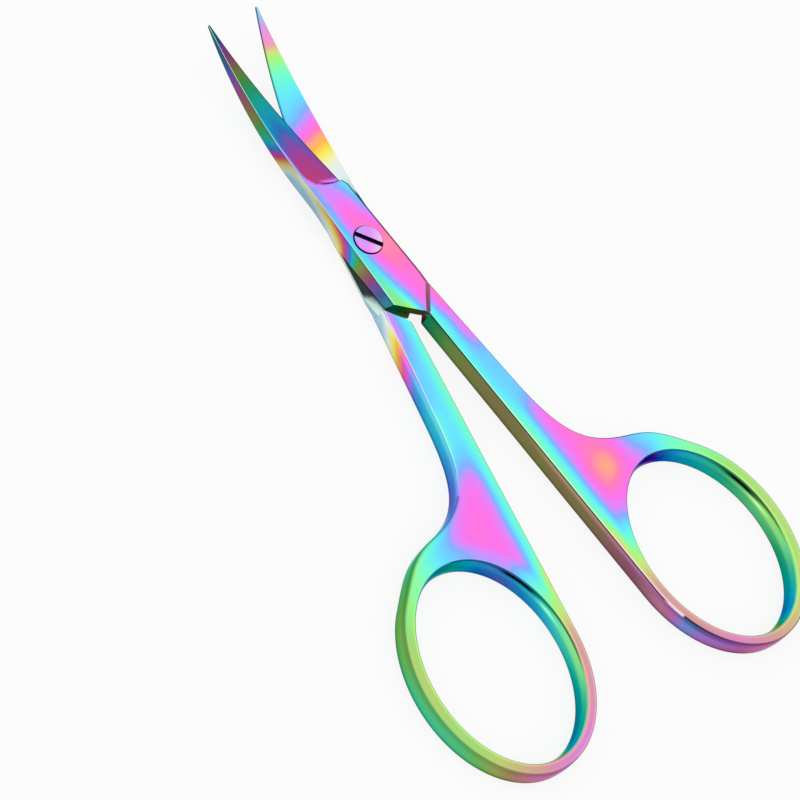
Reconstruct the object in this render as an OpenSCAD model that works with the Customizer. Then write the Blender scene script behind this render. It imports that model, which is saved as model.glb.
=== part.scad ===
// Cuticle scissors: two forged halves that cross in a lap joint and turn on a slotted screw.
// The origin lies on the pivot axis, in the plane that the scissors rest on.
// +X runs from the pivot towards the blade tips, and +Z points up.
// Each half is drawn closed, as the upper half, with its handle on the -Y side.

/* [Opening] */
// Angle between the two halves as drawn, in degrees
opening = 13.36; // [0.5:0.01:60]

/* [Finger rings] */
// Distance from the pivot to the middle of a finger hole
ring_reach = 49.4; // [47:0.1:58]
// Length of the finger hole
hole_l = 24; // [20:0.1:27]
// Width of the finger hole
hole_w = 18.3; // [16:0.1:21]
// Turn of the finger ring in plan, in degrees
ring_turn = 1.8; // [0.2:0.1:5]
// Wall of the ring beside the other ring
wall_inner = 1.06; // [0.9:0.02:1.6]
// Wall of the ring on its far side
wall_outer = 1.32; // [0.9:0.02:1.8]
// Wall of the ring at the end of the handle
wall_end = 1.1; // [0.9:0.02:1.8]
// How far the middle of the hole's wall swells into the hole
hole_crown = 0.12; // [0.02:0.02:0.3]

/* [Shanks] */
// Thickness of the shanks and finger rings
handle_t = 2.7; // [2.2:0.1:3.6]
// Radius of the rounded edges of shanks and rings
edge_r = 0.35; // [0.2:0.05:0.4]
// Space between the inner sides of the shanks, closed
shank_gap = 0.06; // [0.04:0.02:0.3]
// Width of a shank where it starts to flare
shank_w = 3.4; // [3:0.05:4.2]
// How far the shank's outer side stands back from the joint block's
neck_inset = 0.08; // [0.04:0.02:0.4]
// Distance from the pivot to the start of the flare
flare_start = 22; // [18:0.5:25]
// Metal between the ring and the deepest point of the notch beside it
notch_web = 2; // [1:0.1:3]
// How far that point lies beyond the middle of the ring
notch_drop = 0.4; // [0:0.1:2]
// Lean of the notch's side there, in degrees
notch_lean = 19; // [5:1:30]

/* [Lap joint] */
// Width of the joint block on its outer face
block_w = 5.6; // [5:0.1:7]
// How far the block's outer face lies below the shank's
block_drop = 0.2; // [0.1:0.05:0.5]
// Length of the slope between the two faces
step_run = 0.45; // [0.2:0.05:0.8]
// Angle of that slope's line to the handle, in degrees
step_angle = 41.5; // [38:0.5:46]
// Run outwards of the block's side walls for each unit of height, at the V
side_lean = 0.45; // [0.2:0.05:0.7]
// Distance from the pivot to the point of the block's V-shaped end
vee_reach = 10.2; // [9:0.1:13]
// Angle of each arm of the V to the handle, in degrees
vee_angle = 48; // [42:1:55]
// Space between the block's end and the shoulder that it faces, closed
shoulder_gap = 0.45; // [0.2:0.05:1]
// Space between the mating faces of the two halves
mating_gap = 0.06; // [0.02:0.02:0.2]

/* [Blades] */
// Distance from the pivot to the blade tips
blade_reach = 29.6; // [24:0.1:36]
// Distance from the pivot to where the blade takes its own width
blade_start = 8; // [7:0.1:9.5]
// Distance from the pivot to where the blade starts to curve up
curve_start = 10; // [8:0.1:14]
// Rise of the tips above the joint's mating plane
blade_rise = 3.4; // [1:0.1:5]
// Width from the blade's middle line to its spine, at its root
spine_w = 2.45; // [2:0.05:2.8]
// Width from the blade's middle line to its cutting edge, at its root
edge_w = 2.9; // [2.6:0.05:3.3]
// Run outwards of the spine's wall for each unit of height
spine_lean = 0.65; // [0.2:0.05:0.8]
// Width from the middle line to either side at the tip
tip_w = 0.16; // [0.08:0.01:0.3]
// Thickness of the spine at the tip
tip_t = 0.16; // [0.12:0.02:0.4]
// Thickness left at the cutting edge
edge_t = 0.05; // [0.03:0.01:0.1]
// Distance from the pivot to the heel of the ground bevel
heel_reach = 7.25; // [7:0.05:8]
// How far the bevel's upper end sweeps forwards to the spine
heel_sweep = 1.5; // [0.5:0.1:2.5]
// Length of the short slope at the bevel's upper end
heel_run = 0.5; // [0.3:0.05:1]

/* [Pivot screw] */
// Diameter of the screw's head
head_d = 3.4; // [3:0.1:4.2]
// How far the head stands above the block
head_proud = 0.2; // [0.1:0.05:0.8]
// Depth of the seat sunk into the block for the head
head_seat = 0.45; // [0.2:0.05:0.6]
// Space around the head in its seat
head_gap = 0.08; // [0.04:0.02:0.2]
// Space under the head
seat_gap = 0.03; // [0.01:0.01:0.1]
// Diameter of the bearing that the upper half turns on
bearing_d = 2.4; // [2.1:0.1:2.7]
// Space around the bearing
bore_gap = 0.04; // [0.01:0.01:0.1]
// Diameter of the threaded end
thread_d = 2; // [1.4:0.1:2]
// Space around the threaded end
thread_gap = 0.01; // [0.01:0.01:0.05]
// Width of the driver slot
slot_w = 0.6; // [0.3:0.05:0.8]
// Depth of the driver slot
slot_depth = 0.45; // [0.2:0.05:0.6]
// Direction of the slot to the lower half, in degrees
slot_turn = 49; // [0:1:180]
// Chamfer on the ends of the screw
screw_chamfer = 0.08; // [0.04:0.02:0.15]

/* [Hidden] */
$fn = 64;

// Heights in the joint
mid_z = handle_t / 2;
block_z = handle_t - block_drop;
block_t = block_z - mid_z;
gap_z = mating_gap / 2;
side_w = block_w / 2 + side_lean * (block_t - gap_z);
// Finger ring: both ellipses touch lines along the handle
inner_y = -shank_gap / 2;
hole_a = hole_l / 2;
hole_b = hole_w / 2;
ring_a = hole_a + wall_end;
ring_b = hole_b + (wall_inner + wall_outer) / 2;
hole_c = [-ring_reach, inner_y - wall_inner - half_height(hole_a, hole_b)];
ring_c = [-ring_reach, inner_y - half_height(ring_a, ring_b)];
// Shank: its outer side is a straight line from the joint to the flare
neck_w = block_w / 2 - neck_inset;
neck_x = vee_reach - block_w / 2 / tan(vee_angle);
tongue_l = 1.5;
tongue_x = neck_x - tongue_l;
tongue_z = mid_z + block_t / 2;
side_slope = (shank_w - neck_w) / (flare_start - neck_x);
// Fullness of the curves from the flare into the notch and from there into the ring, as shares of their spans
flare_full = 0.56;
notch_full = 0.39;
web_full = 0.37;
join_full = 0.51;
// Angles on the ring's ellipse where the notch joins it and where it touches the inner side
ring_join = -42;
ring_top = atan2(ring_b * cos(ring_turn), -ring_a * sin(ring_turn));
// Blade: radius of its upward curve, and the powers that shape its sides
run = blade_reach - curve_start;
curve_r = (run * run + blade_rise * blade_rise) / 2 / blade_rise;
spine_power = 1.65;
edge_power = 1.2;
taper_power = 2.45;
heel_power = 1.5;
// Length over which the block's spine side runs in to the blade
spine_run = 9;
// Rounding of the block's other side at the heel, along it and across it
heel_round_l = 0.6;
heel_round_w = 0.3;
// How deep the block's end is buried in its own shank, along it and across it
bury_l = 0.4;
bury_w = 0.1;
// Screw: radii and heights
seat_z = block_z - head_seat;
head_z = block_z + head_proud;
shoulder_z = mid_z - gap_z;
// Steps of the curves
shank_steps = 6;
flare_steps = 14;
cut_step = 8;
web_steps = 8;
ring_steps = 60;
inner_steps = 12;
edge_steps = 3;
across = 4;
block_steps = 7;
blade_steps = 22;
far = 100;

// Half the extent across the handle of an ellipse turned by ring_turn
function half_height(a, b) = norm([a * sin(ring_turn), b * cos(ring_turn)]);
// Point of a turned ellipse
function ellipse(c, a, b, angle) =
    c + turned([a * cos(angle), b * sin(angle)], -ring_turn);
function turned(p, angle) =
    [p.x * cos(angle) - p.y * sin(angle), p.x * sin(angle) + p.y * cos(angle)];
function unit(v) = v / norm(v);
function mix(a, b, t) = a + (b - a) * t;
// Smooth step from 0 to 1 between two places
function ramp(x, from, to) =
    let (t = max(0, min(1, (x - from) / (to - from)))) t * t * (3 - 2 * t);
function bezier(p, t) =
    pow(1 - t, 3) * p[0] + 3 * t * pow(1 - t, 2) * p[1] + 3 * t * t * (1 - t) * p[2] + pow(t, 3) * p[3];
// Two triangles for four corners listed against the clock, seen from outside
function quad(a, b, c, d) = [[a, c, b], [a, d, c]];

// Handle outline: out along the shank, round the notch and the ring, and back along the inner side
flare_p = [-flare_start, -shank_w];
notch_p = [-ring_reach + ring_a + notch_web, ring_c.y - notch_drop];
notch_dir = [-sin(notch_lean), -cos(notch_lean)];
join_p = ellipse(ring_c, ring_a, ring_b, ring_join);
join_dir = unit(turned([ring_a * sin(ring_join), -ring_b * cos(ring_join)], -ring_turn));
flare_span = norm(notch_p - flare_p);
web_span = norm(join_p - notch_p);
flare_curve = [
    flare_p,
    flare_p - flare_full * flare_span * unit([1, side_slope]),
    notch_p - notch_full * flare_span * notch_dir,
    notch_p
];
web_curve = [
    notch_p,
    notch_p + web_full * web_span * notch_dir,
    join_p - join_full * web_span * join_dir,
    join_p
];
outer_side = [
    for (i = [0:shank_steps])
        let (x = mix(tongue_x, flare_start, i / shank_steps)) [-x, -neck_w - side_slope * (x - neck_x)],
    for (i = [1:flare_steps]) bezier(flare_curve, i / flare_steps),
    for (i = [1:web_steps]) bezier(web_curve, i / web_steps),
    for (i = [1:ring_steps])
        ellipse(ring_c, ring_a, ring_b, mix(ring_join, ring_top - 360, i / ring_steps))
];
// The shank's rows reach to this index, where the grid around the hole takes over
cut = shank_steps + cut_step;
inner_side = [
    for (i = [1:inner_steps - 1])
        [mix(outer_side[len(outer_side) - 1].x, outer_side[cut].x, i / inner_steps), inner_y],
    for (k = [cut:-1:0]) [outer_side[k].x, inner_y]
];
outline = concat(outer_side, inner_side);
last = len(outline) - 1;

// Direction into the metal at a point of the outline
function inwards(k) =
    let (d = unit(outline[min(last, k + 1)] - outline[max(0, k - 1)])) [d.y, -d.x];
// Rounded edge from the top face down, as inset and height, and the whole wall with its lower edge
edge_profile = [
    for (i = [0:edge_steps])
        let (a = 90 * i / edge_steps) [edge_r * (1 - sin(a)), handle_t - edge_r * (1 - cos(a))]
];
low_profile = [for (i = [edge_steps:-1:0]) [edge_profile[i].x, handle_t - edge_profile[i].y]];
wall_profile = concat(edge_profile, low_profile);
hole_profile = concat(edge_profile, [[-hole_crown, mid_z]], low_profile);
wall_n = len(wall_profile);
hole_n = len(hole_profile);

// Points of the handle: the walls, the rows across the shank, and the finger hole
wall_points = [
    for (k = [0:last]) for (w = wall_profile)
        let (p = outline[k] + w.x * inwards(k)) [p.x, p.y, w.y]
];
row_points = [
    for (k = [0:cut]) for (c = [1:across - 1]) for (j = [0, wall_n - 1])
        mix(wall_points[k * wall_n + j], wall_points[(last - k) * wall_n + j], c / across)
];
row_base = len(wall_points);
hole_base = row_base + len(row_points);
arc_n = last - 2 * cut + 1;
loop_n = arc_n + across - 1;
function wall_at(k, j) = k * wall_n + j;
// Point of a row across the shank, on the top face (low = 0) or the bottom face (low = 1)
function row_at(k, c, low) =
    c == 0 ? wall_at(k, low * (wall_n - 1)) :
    c == across ? wall_at(last - k, low * (wall_n - 1)) :
    row_base + (k * (across - 1) + c - 1) * 2 + low;
// Point of the loop around the hole, which closes across the shank
function loop_at(q, low) =
    let (i = q % loop_n)
    i < arc_n ? wall_at(cut + i, low * (wall_n - 1)) : row_at(cut, across - (i - arc_n + 1), low);
function hole_at(q, j) = hole_base + (q % loop_n) * hole_n + j;
all_outer = concat(wall_points, row_points);
hole_points = [
    for (q = [0:loop_n - 1])
        let (p = all_outer[loop_at(q, 0)],
             v = turned([p.x, p.y] - hole_c, ring_turn),
             a = atan2(v.y / hole_b, v.x / hole_a),
             out = turned(unit([cos(a) / hole_a, sin(a) / hole_b]), -ring_turn),
             rim = ellipse(hole_c, hole_a, hole_b, a))
        for (w = hole_profile) [rim.x + w.x * out.x, rim.y + w.x * out.y, w.y]
];
handle_faces = [
    for (k = [0:last - 1]) for (j = [0:wall_n - 2])
        each quad(wall_at(k, j), wall_at(k + 1, j), wall_at(k + 1, j + 1), wall_at(k, j + 1)),
    for (k = [0:cut - 1]) for (c = [0:across - 1])
        each quad(row_at(k, c, 0), row_at(k, c + 1, 0), row_at(k + 1, c + 1, 0), row_at(k + 1, c, 0)),
    for (k = [0:cut - 1]) for (c = [0:across - 1])
        each quad(row_at(k, c, 1), row_at(k + 1, c, 1), row_at(k + 1, c + 1, 1), row_at(k, c + 1, 1)),
    for (q = [0:loop_n - 1])
        each quad(loop_at(q, 0), hole_at(q, 0), hole_at(q + 1, 0), loop_at(q + 1, 0)),
    for (q = [0:loop_n - 1])
        each quad(loop_at(q, 1), loop_at(q + 1, 1), hole_at(q + 1, hole_n - 1), hole_at(q, hole_n - 1)),
    for (q = [0:loop_n - 1]) for (j = [0:hole_n - 2])
        each quad(hole_at(q, j), hole_at(q, j + 1), hole_at(q + 1, j + 1), hole_at(q + 1, j)),
    concat([for (j = [wall_n - 1:-1:0]) wall_at(0, j)],
           [for (c = [1:across - 1]) row_at(0, c, 0)],
           [for (j = [0:wall_n - 1]) wall_at(last, j)],
           [for (c = [across - 1:-1:1]) row_at(0, c, 1)])
];

// Rise of the mating surface at a distance from the pivot: flat in the joint, then an arc
function curve(r) =
    r < curve_start ? 0 : curve_r - sqrt(curve_r * curve_r - pow(r - curve_start, 2));
// How far along the blade a place is, from 0 at its root to 1 at its tip
function along(x) = max(0, min(1, (x - blade_start) / (blade_reach - blade_start)));
// Thickness of the block and of the blade's spine above the mating surface
function spine_h(x) = mix(block_t, tip_t, pow(along(x), taper_power));
// Side of the spine and side of the cutting edge at the mating surface
function spine_y(x) =
    x < blade_start
        ? mix(side_w, spine_w, ramp(x, blade_start - spine_run, blade_start))
        : mix(spine_w, tip_w, pow(along(x), spine_power));
function edge_y(x) = -mix(edge_w, tip_w, pow(along(x), edge_power));
// Side of the outer face above the spine: a straight line along the block, then the leaning wall's top
function top_y(x) =
    x < blade_start
        ? mix(block_w / 2, spine_w - spine_lean * (block_t - gap_z), (x + neck_x) / (blade_start + neck_x))
        : spine_y(x) - spine_lean * (spine_h(x) - gap_z);
// Slant of the bevel's upper end at a share of the width
function heel_x(v) = heel_reach + heel_sweep * pow(1 - v, heel_power);
// Shares of the width, from the spine, at which the grid of the block and the blade has its columns
columns = [0, 0.15, 0.3, 0.45, 0.55, 0.7, 0.85, 1];
column_n = len(columns);

// A grid point is a place, a width and a height above the mating surface, on the top and the bottom face.
// The end row follows the open arm of the V and then lies buried behind the shoulder.
vee_n = column_n / 2;
function end_y(left, j) =
    j < vee_n
        ? mix(left, inner_y, j / (vee_n - 1))
        : mix(inner_y - bury_w, -neck_w + bury_w, (j - vee_n) / (vee_n - 1));
function end_x(y, j) =
    -vee_reach + abs(y) / tan(vee_angle) - (j < vee_n ? 0 : shoulder_gap / sin(vee_angle) + bury_l);
function end_row(j) =
    let (top = end_y(block_w / 2, j), low = end_y(side_w, j))
    [[end_x(top, j), top, block_t], [end_x(low, j), low, gap_z]];
function block_row(x, v) = [
    [x, mix(top_y(x), -block_w / 2, v), block_t],
    [x, mix(spine_y(x), -side_w, v), gap_z]
];
function heel_row(v) =
    let (x = heel_x(0))
    [[heel_x(v), mix(top_y(x), heel_round_w - block_w / 2, v), block_t],
     [heel_x(v), mix(spine_y(x), -edge_w, v), gap_z]];
function blade_row(t, v) =
    let (x = mix(heel_x(v) + heel_run, blade_reach, t),
         spine_x = mix(heel_x(0) + heel_run, blade_reach, t),
         edge_x = mix(heel_x(1) + heel_run, blade_reach, t),
         h = spine_h(spine_x))
    [[x, mix(top_y(spine_x), edge_y(edge_x), v), mix(h, gap_z + edge_t, v)],
     [x, mix(spine_y(spine_x), edge_y(edge_x), v), gap_z]];
blank_rows = [
    [for (j = [0:column_n - 1]) end_row(j)],
    for (i = [0:block_steps])
        let (x = mix(-tongue_x, heel_reach - heel_round_l, i / block_steps))
        [for (v = columns) block_row(x, v)],
    [for (v = columns) heel_row(v)],
    for (i = [0:blade_steps]) [for (v = columns) blade_row(i / blade_steps, v)]
];
rows_n = len(blank_rows);
function blank_at(i, j, low) = (i * column_n + j) * 2 + low;
function blank_faces() = [
    for (i = [0:rows_n - 2]) for (j = [0:column_n - 2])
        each quad(blank_at(i, j, 0), blank_at(i, j + 1, 0), blank_at(i + 1, j + 1, 0), blank_at(i + 1, j, 0)),
    for (i = [0:rows_n - 2]) for (j = [0:column_n - 2])
        each quad(blank_at(i, j, 1), blank_at(i + 1, j, 1), blank_at(i + 1, j + 1, 1), blank_at(i, j + 1, 1)),
    for (i = [0:rows_n - 2])
        each quad(blank_at(i, 0, 0), blank_at(i + 1, 0, 0), blank_at(i + 1, 0, 1), blank_at(i, 0, 1)),
    for (i = [0:rows_n - 2])
        each quad(blank_at(i, column_n - 1, 0), blank_at(i, column_n - 1, 1),
                  blank_at(i + 1, column_n - 1, 1), blank_at(i + 1, column_n - 1, 0)),
    for (j = [0:column_n - 2])
        each quad(blank_at(0, j, 0), blank_at(0, j, 1), blank_at(0, j + 1, 1), blank_at(0, j + 1, 0)),
    for (j = [0:column_n - 2])
        each quad(blank_at(rows_n - 1, j, 0), blank_at(rows_n - 1, j + 1, 0),
                  blank_at(rows_n - 1, j + 1, 1), blank_at(rows_n - 1, j, 1))
];

// Joint block and blade in one; bend is 1 where the blade curves away from its mating face, or -1
module blank(bend) {
    points = [
        for (row = blank_rows) for (pair = row) for (p = pair)
            [p.x, p.y, mid_z + p.z + bend * curve(norm([p.x, p.y]))]
    ];
    polyhedron(points, blank_faces());
}

// Shank and finger ring, cut back at the shoulder and sloped down to the block's face
module handle() {
    difference() {
        polyhedron(concat(all_outer, hole_points), handle_faces);
        translate([-vee_reach - shoulder_gap / sin(vee_angle), 0, 0])
            rotate([0, 0, 90 - vee_angle])
                translate([0, -far / 2, tongue_z - far]) cube([far, far, far]);
        translate([-vee_reach, 0, block_z])
            rotate([0, atan2(block_drop, step_run), 90 - step_angle])
                translate([-far / 2, -far / 2, 0]) cube([far, far, far]);
    }
}

// One forged half, drawn as the upper one
module half(bend) {
    union() {
        handle();
        blank(bend);
    }
}

module front_half() {
    color("orchid")
        rotate([0, 0, opening / 2])
            difference() {
                half(1);
                cylinder(h = far, r = bearing_d / 2 + bore_gap, center = true);
                translate([0, 0, seat_z]) cylinder(h = far, r = head_d / 2 + head_gap);
            }
}

module back_half() {
    color("mediumturquoise")
        rotate([0, 0, -opening / 2])
            difference() {
                translate([0, 0, handle_t]) rotate([180, 0, 0]) half(-1);
                cylinder(h = far, r = thread_d / 2 + thread_gap, center = true);
            }
}

module pivot_screw() {
    color("plum")
        rotate([0, 0, -opening / 2])
            difference() {
                rotate_extrude()
                    polygon([
                        [0, 0],
                        [thread_d / 2 - screw_chamfer, 0],
                        [thread_d / 2, screw_chamfer],
                        [thread_d / 2, shoulder_z],
                        [bearing_d / 2, shoulder_z],
                        [bearing_d / 2, seat_z + seat_gap],
                        [head_d / 2, seat_z + seat_gap],
                        [head_d / 2, head_z - screw_chamfer],
                        [head_d / 2 - screw_chamfer, head_z],
                        [0, head_z]
                    ]);
                rotate([0, 0, slot_turn])
                    translate([-far / 2, -slot_w / 2, head_z - slot_depth]) cube([far, slot_w, far]);
            }
}

front_half();
back_half();
pivot_screw();
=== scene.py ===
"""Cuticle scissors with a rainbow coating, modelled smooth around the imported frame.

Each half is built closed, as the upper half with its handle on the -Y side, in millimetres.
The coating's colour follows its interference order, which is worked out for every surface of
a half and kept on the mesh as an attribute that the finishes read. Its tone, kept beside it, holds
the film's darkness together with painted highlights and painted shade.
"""

import logging
import math
from dataclasses import dataclass, field
from enum import Enum
from functools import partial
from typing import Callable, Iterable, Sequence

import bpy
import numpy as np
from mathutils import Matrix, Vector


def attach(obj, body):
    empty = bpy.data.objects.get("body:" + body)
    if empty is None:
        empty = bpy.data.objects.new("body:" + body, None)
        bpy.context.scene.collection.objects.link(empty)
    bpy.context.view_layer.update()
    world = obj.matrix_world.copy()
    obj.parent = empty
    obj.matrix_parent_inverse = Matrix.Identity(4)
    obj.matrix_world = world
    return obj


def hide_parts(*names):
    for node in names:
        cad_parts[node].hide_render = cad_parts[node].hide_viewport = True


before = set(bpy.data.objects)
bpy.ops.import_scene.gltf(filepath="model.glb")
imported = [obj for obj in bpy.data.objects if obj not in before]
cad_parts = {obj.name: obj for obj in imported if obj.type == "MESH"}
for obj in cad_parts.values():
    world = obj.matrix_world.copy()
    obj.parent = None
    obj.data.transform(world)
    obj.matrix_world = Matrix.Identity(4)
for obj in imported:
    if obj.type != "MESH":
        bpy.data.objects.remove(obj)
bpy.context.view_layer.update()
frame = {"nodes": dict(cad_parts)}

LOG = logging.getLogger("scissors")
MM = 0.001
FAR = 100.0
FACE_WEIGHT = 100
OPENING = 13.36
ORDER = "film_order"
# Tone of the film, which also holds painted highlights and painted shade
TONE = "film_tone_and_painted_light"

Value = float | np.ndarray
Reach = float | Callable[[float], float]
Plane = tuple[float, float]
Point = tuple[float, float, float]
Stops = Sequence[tuple[float, float]]
Levels = tuple[float, float, float, float, float]
Coat = tuple[np.ndarray, np.ndarray]


class Surface(Enum):
    """The surfaces of a half, in the order of its material slots."""

    FACE = 0
    BLOCK = 1
    WALL = 2
    HOLE = 3
    FLANK = 4
    BEVEL = 5
    MATING = 6
    END = 7
    BORE = 8
    EDGE = 9


class Tone(Enum):
    """How much of the steel shines through the coating, from dark oxide to bare metal, with painted
    highlights and shade.
    """

    OXIDE = 0.0
    DEEP = 0.33
    CLEAR = 0.67
    BARE = 1.0


CLEAR = Tone.CLEAR.value


class Combining(Enum):
    """How one solid changes another."""

    JOIN = "UNION"
    CUT = "DIFFERENCE"


# Small maths

def mix(a: Value, b: Value, t: Value) -> Value:
    """Goes from a to b as t goes from 0 to 1."""
    return a + (b - a) * t


def ramp(x: Value, start: Value, end: Value) -> Value:
    """Steps smoothly from 0 at start to 1 at end."""
    t = np.clip((x - start) / (end - start), 0.0, 1.0)
    return t * t * (3.0 - 2.0 * t)


def through(stops: Stops, x: np.ndarray) -> np.ndarray:
    """Reads a smooth curve through a few stops.

    Args:
        stops: Pairs of place and value, in rising order of place.
        x: The places to read.

    Returns:
        The values, level beyond the first and the last stop.
    """
    places, values = np.array(stops, dtype=float).T
    slopes = np.gradient(values, places)
    i = np.clip(np.searchsorted(places, x) - 1, 0, len(places) - 2)
    span = places[i + 1] - places[i]
    t = np.clip((x - places[i]) / span, 0.0, 1.0)
    bulge = slopes[i] * t * (1 - t) ** 2 - slopes[i + 1] * t * t * (1 - t)
    return mix(values[i], values[i + 1], t * t * (3 - 2 * t)) + span * bulge


def distance(line: Iterable[Plane], x: np.ndarray, y: np.ndarray) -> np.ndarray:
    """Gives the distance of places from the nearest point of a line.

    Args:
        line: The line's points.
        x: Places along the handle.
        y: Places across it.

    Returns:
        The distances.
    """
    near = np.full(x.shape, FAR)
    for p in line:
        near = np.minimum(near, np.hypot(x - p[0], y - p[1]))
    return near


def turned(p: Plane, degrees: float) -> Plane:
    """Turns a plan point about the origin."""
    c, s = math.cos(math.radians(degrees)), math.sin(math.radians(degrees))
    return (p[0] * c - p[1] * s, p[0] * s + p[1] * c)


def unit(v: Plane) -> Plane:
    """Gives the plan direction of v."""
    length = math.hypot(v[0], v[1])
    return (v[0] / length, v[1] / length)


def step_from(p: Plane, direction: Plane, length: float) -> Plane:
    """Goes a length from p in a direction."""
    return (p[0] + direction[0] * length, p[1] + direction[1] * length)


def between(a: Point, b: Point, steps: int) -> list[Point]:
    """Gives the points that cut the line from a to b into steps."""
    return [tuple(mix(p, q, i / steps) for p, q in zip(a, b)) for i in range(1, steps)]


def bezier(p: Sequence[Plane], t: float) -> Plane:
    """Gives a point of a cubic curve with four control points."""
    w = ((1 - t) ** 3, 3 * t * (1 - t) ** 2, 3 * t * t * (1 - t), t ** 3)
    return (sum(a * q[0] for a, q in zip(w, p)), sum(a * q[1] for a, q in zip(w, p)))


# Meshes

@dataclass
class Skin:
    """Points and faces of a closed shell in millimetres, each face with its surface."""

    points: list[Point] = field(default_factory=list)
    faces: list[tuple[int, ...]] = field(default_factory=list)
    kinds: list[int] = field(default_factory=list)

    def add(self, row: Iterable[Point]) -> list[int]:
        """Adds a row of points.

        Args:
            row: The points.

        Returns:
            Their numbers.
        """
        first = len(self.points)
        self.points.extend(row)
        return list(range(first, len(self.points)))

    def face(self, ring: Sequence[int], kind: Surface) -> None:
        """Adds one face, its corners against the clock seen from outside."""
        self.faces.append(tuple(ring))
        self.kinds.append(kind.value)

    def strip(self, a: Sequence[int], b: Sequence[int], kinds: Sequence[Surface]) -> None:
        """Joins two rows of points with quads.

        Args:
            a: First row.
            b: Second row, on the left of the first seen from outside along the row.
            kinds: Surface of each quad, or one surface for all.
        """
        for i in range(len(a) - 1):
            self.face((a[i], a[i + 1], b[i + 1], b[i]), kinds[min(i, len(kinds) - 1)])

    def turn(self, profile: Sequence[tuple[Reach, float]], kinds: Sequence[Surface], steps: int) -> None:
        """Adds a closed solid that is turned about Z.

        Args:
            profile: Radius, or what gives it at an angle, and height, from the bottom up.
            kinds: Surface from each height to the next, and last that of the top.
            steps: Steps around.
        """
        angles = [2 * math.pi * i / steps for i in range(steps)]
        rings = []
        for radius, z in profile:
            reach = [radius(a) if callable(radius) else radius for a in angles]
            ring = self.add((r * math.cos(a), r * math.sin(a), z) for r, a in zip(reach, angles))
            rings.append(ring + ring[:1])
        for low, high, kind in zip(rings, rings[1:], kinds):
            self.strip(low, high, [kind])
        self.face(rings[0][:0:-1], kinds[0])
        self.face(rings[-1][:-1], kinds[-1])

    def build(self, name: str) -> bpy.types.Object:
        """Makes the shell an object in metres with one material slot per surface.

        Args:
            name: The object's name.

        Returns:
            The object, linked to the scene.
        """
        mesh = bpy.data.meshes.new(name)
        mesh.from_pydata([tuple(c * MM for c in p) for p in self.points], [], self.faces)
        for _ in Surface:
            mesh.materials.append(None)
        mesh.polygons.foreach_set("material_index", self.kinds)
        mesh.update()
        obj = bpy.data.objects.new(name, mesh)
        bpy.context.scene.collection.objects.link(obj)
        return obj


def box(name: str, low: Point, high: Point, place: Matrix, kind: Surface) -> bpy.types.Object:
    """Makes a box that cuts.

    Args:
        name: The object's name.
        low: Lowest corner in millimetres.
        high: Highest corner in millimetres.
        place: Where the box stands, in millimetres.
        kind: Surface that the cut leaves.

    Returns:
        The box.
    """
    skin = Skin()
    xs, ys, zs = zip(low, high)
    skin.add(tuple(place @ Vector((x, y, z))) for z in zs for y in ys for x in xs)
    for ring in ((0, 2, 3, 1), (4, 5, 7, 6), (0, 1, 5, 4), (2, 6, 7, 3), (0, 4, 6, 2), (1, 3, 7, 5)):
        skin.face(ring, kind)
    return skin.build(name)


def revolve(name: str, profile: Sequence[Plane], kind: Surface, steps: int = 128) -> bpy.types.Object:
    """Makes a turned solid that cuts.

    Args:
        name: The object's name.
        profile: Radius and height, from the bottom up.
        kind: Surface that the cut leaves.
        steps: Steps around.

    Returns:
        The solid.
    """
    skin = Skin()
    skin.turn(profile, [kind] * len(profile), steps)
    return skin.build(name)


def combine(target: bpy.types.Object, other: bpy.types.Object, way: Combining) -> None:
    """Joins or cuts a solid with another, which is then deleted.

    Args:
        target: The solid that is kept.
        other: The solid that joins it or cuts it.
        way: Whether it joins or cuts.
    """
    modifier = target.modifiers.new("combine", "BOOLEAN")
    modifier.object = other
    modifier.operation = way.value
    modifier.solver = "EXACT"
    modifier.material_mode = "INDEX"
    bpy.context.view_layer.update()
    done = bpy.data.meshes.new_from_object(target.evaluated_get(bpy.context.evaluated_depsgraph_get()))
    old = target.data
    target.modifiers.clear()
    target.data = done
    bpy.data.meshes.remove(old)
    waste = other.data
    bpy.data.objects.remove(other)
    bpy.data.meshes.remove(waste)


def smooth(obj: bpy.types.Object, angle: float) -> None:
    """Shades a piece smooth with its edges left sharp.

    Args:
        obj: The piece.
        angle: Angle in degrees above which an edge is sharp.
    """
    mesh = obj.data
    mesh.shade_smooth()
    mesh.set_sharp_from_angle(angle=math.radians(angle))
    weighted = obj.modifiers.new("flats stay flat", "WEIGHTED_NORMAL")
    weighted.keep_sharp = True
    weighted.weight = FACE_WEIGHT


def read(items: bpy.types.bpy_prop_collection, name: str, kind: type, width: int = 1) -> np.ndarray:
    """Reads one property of a mesh's parts.

    Args:
        items: The vertices, corners or faces.
        name: The property.
        kind: Type of its values.
        width: Values for each part.

    Returns:
        The values, a row for each part.
    """
    values = np.empty(len(items) * width, dtype=kind)
    items.foreach_get(name, values)
    return values if width == 1 else values.reshape(-1, width)


def corners(mesh: bpy.types.Mesh) -> tuple[np.ndarray, np.ndarray, np.ndarray]:
    """Reads what the coating needs to know of a mesh.

    Args:
        mesh: The mesh.

    Returns:
        The surface, the place in millimetres and the face's normal at each of its corners.
    """
    count = read(mesh.polygons, "loop_total", np.int32)
    kinds = np.repeat(read(mesh.polygons, "material_index", np.int32), count)
    normals = np.repeat(read(mesh.polygons, "normal", np.float32, 3), count, axis=0).T
    points = read(mesh.vertices, "co", np.float32, 3) / MM
    return kinds, points[read(mesh.loops, "vertex_index", np.int32)].T, normals


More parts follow.
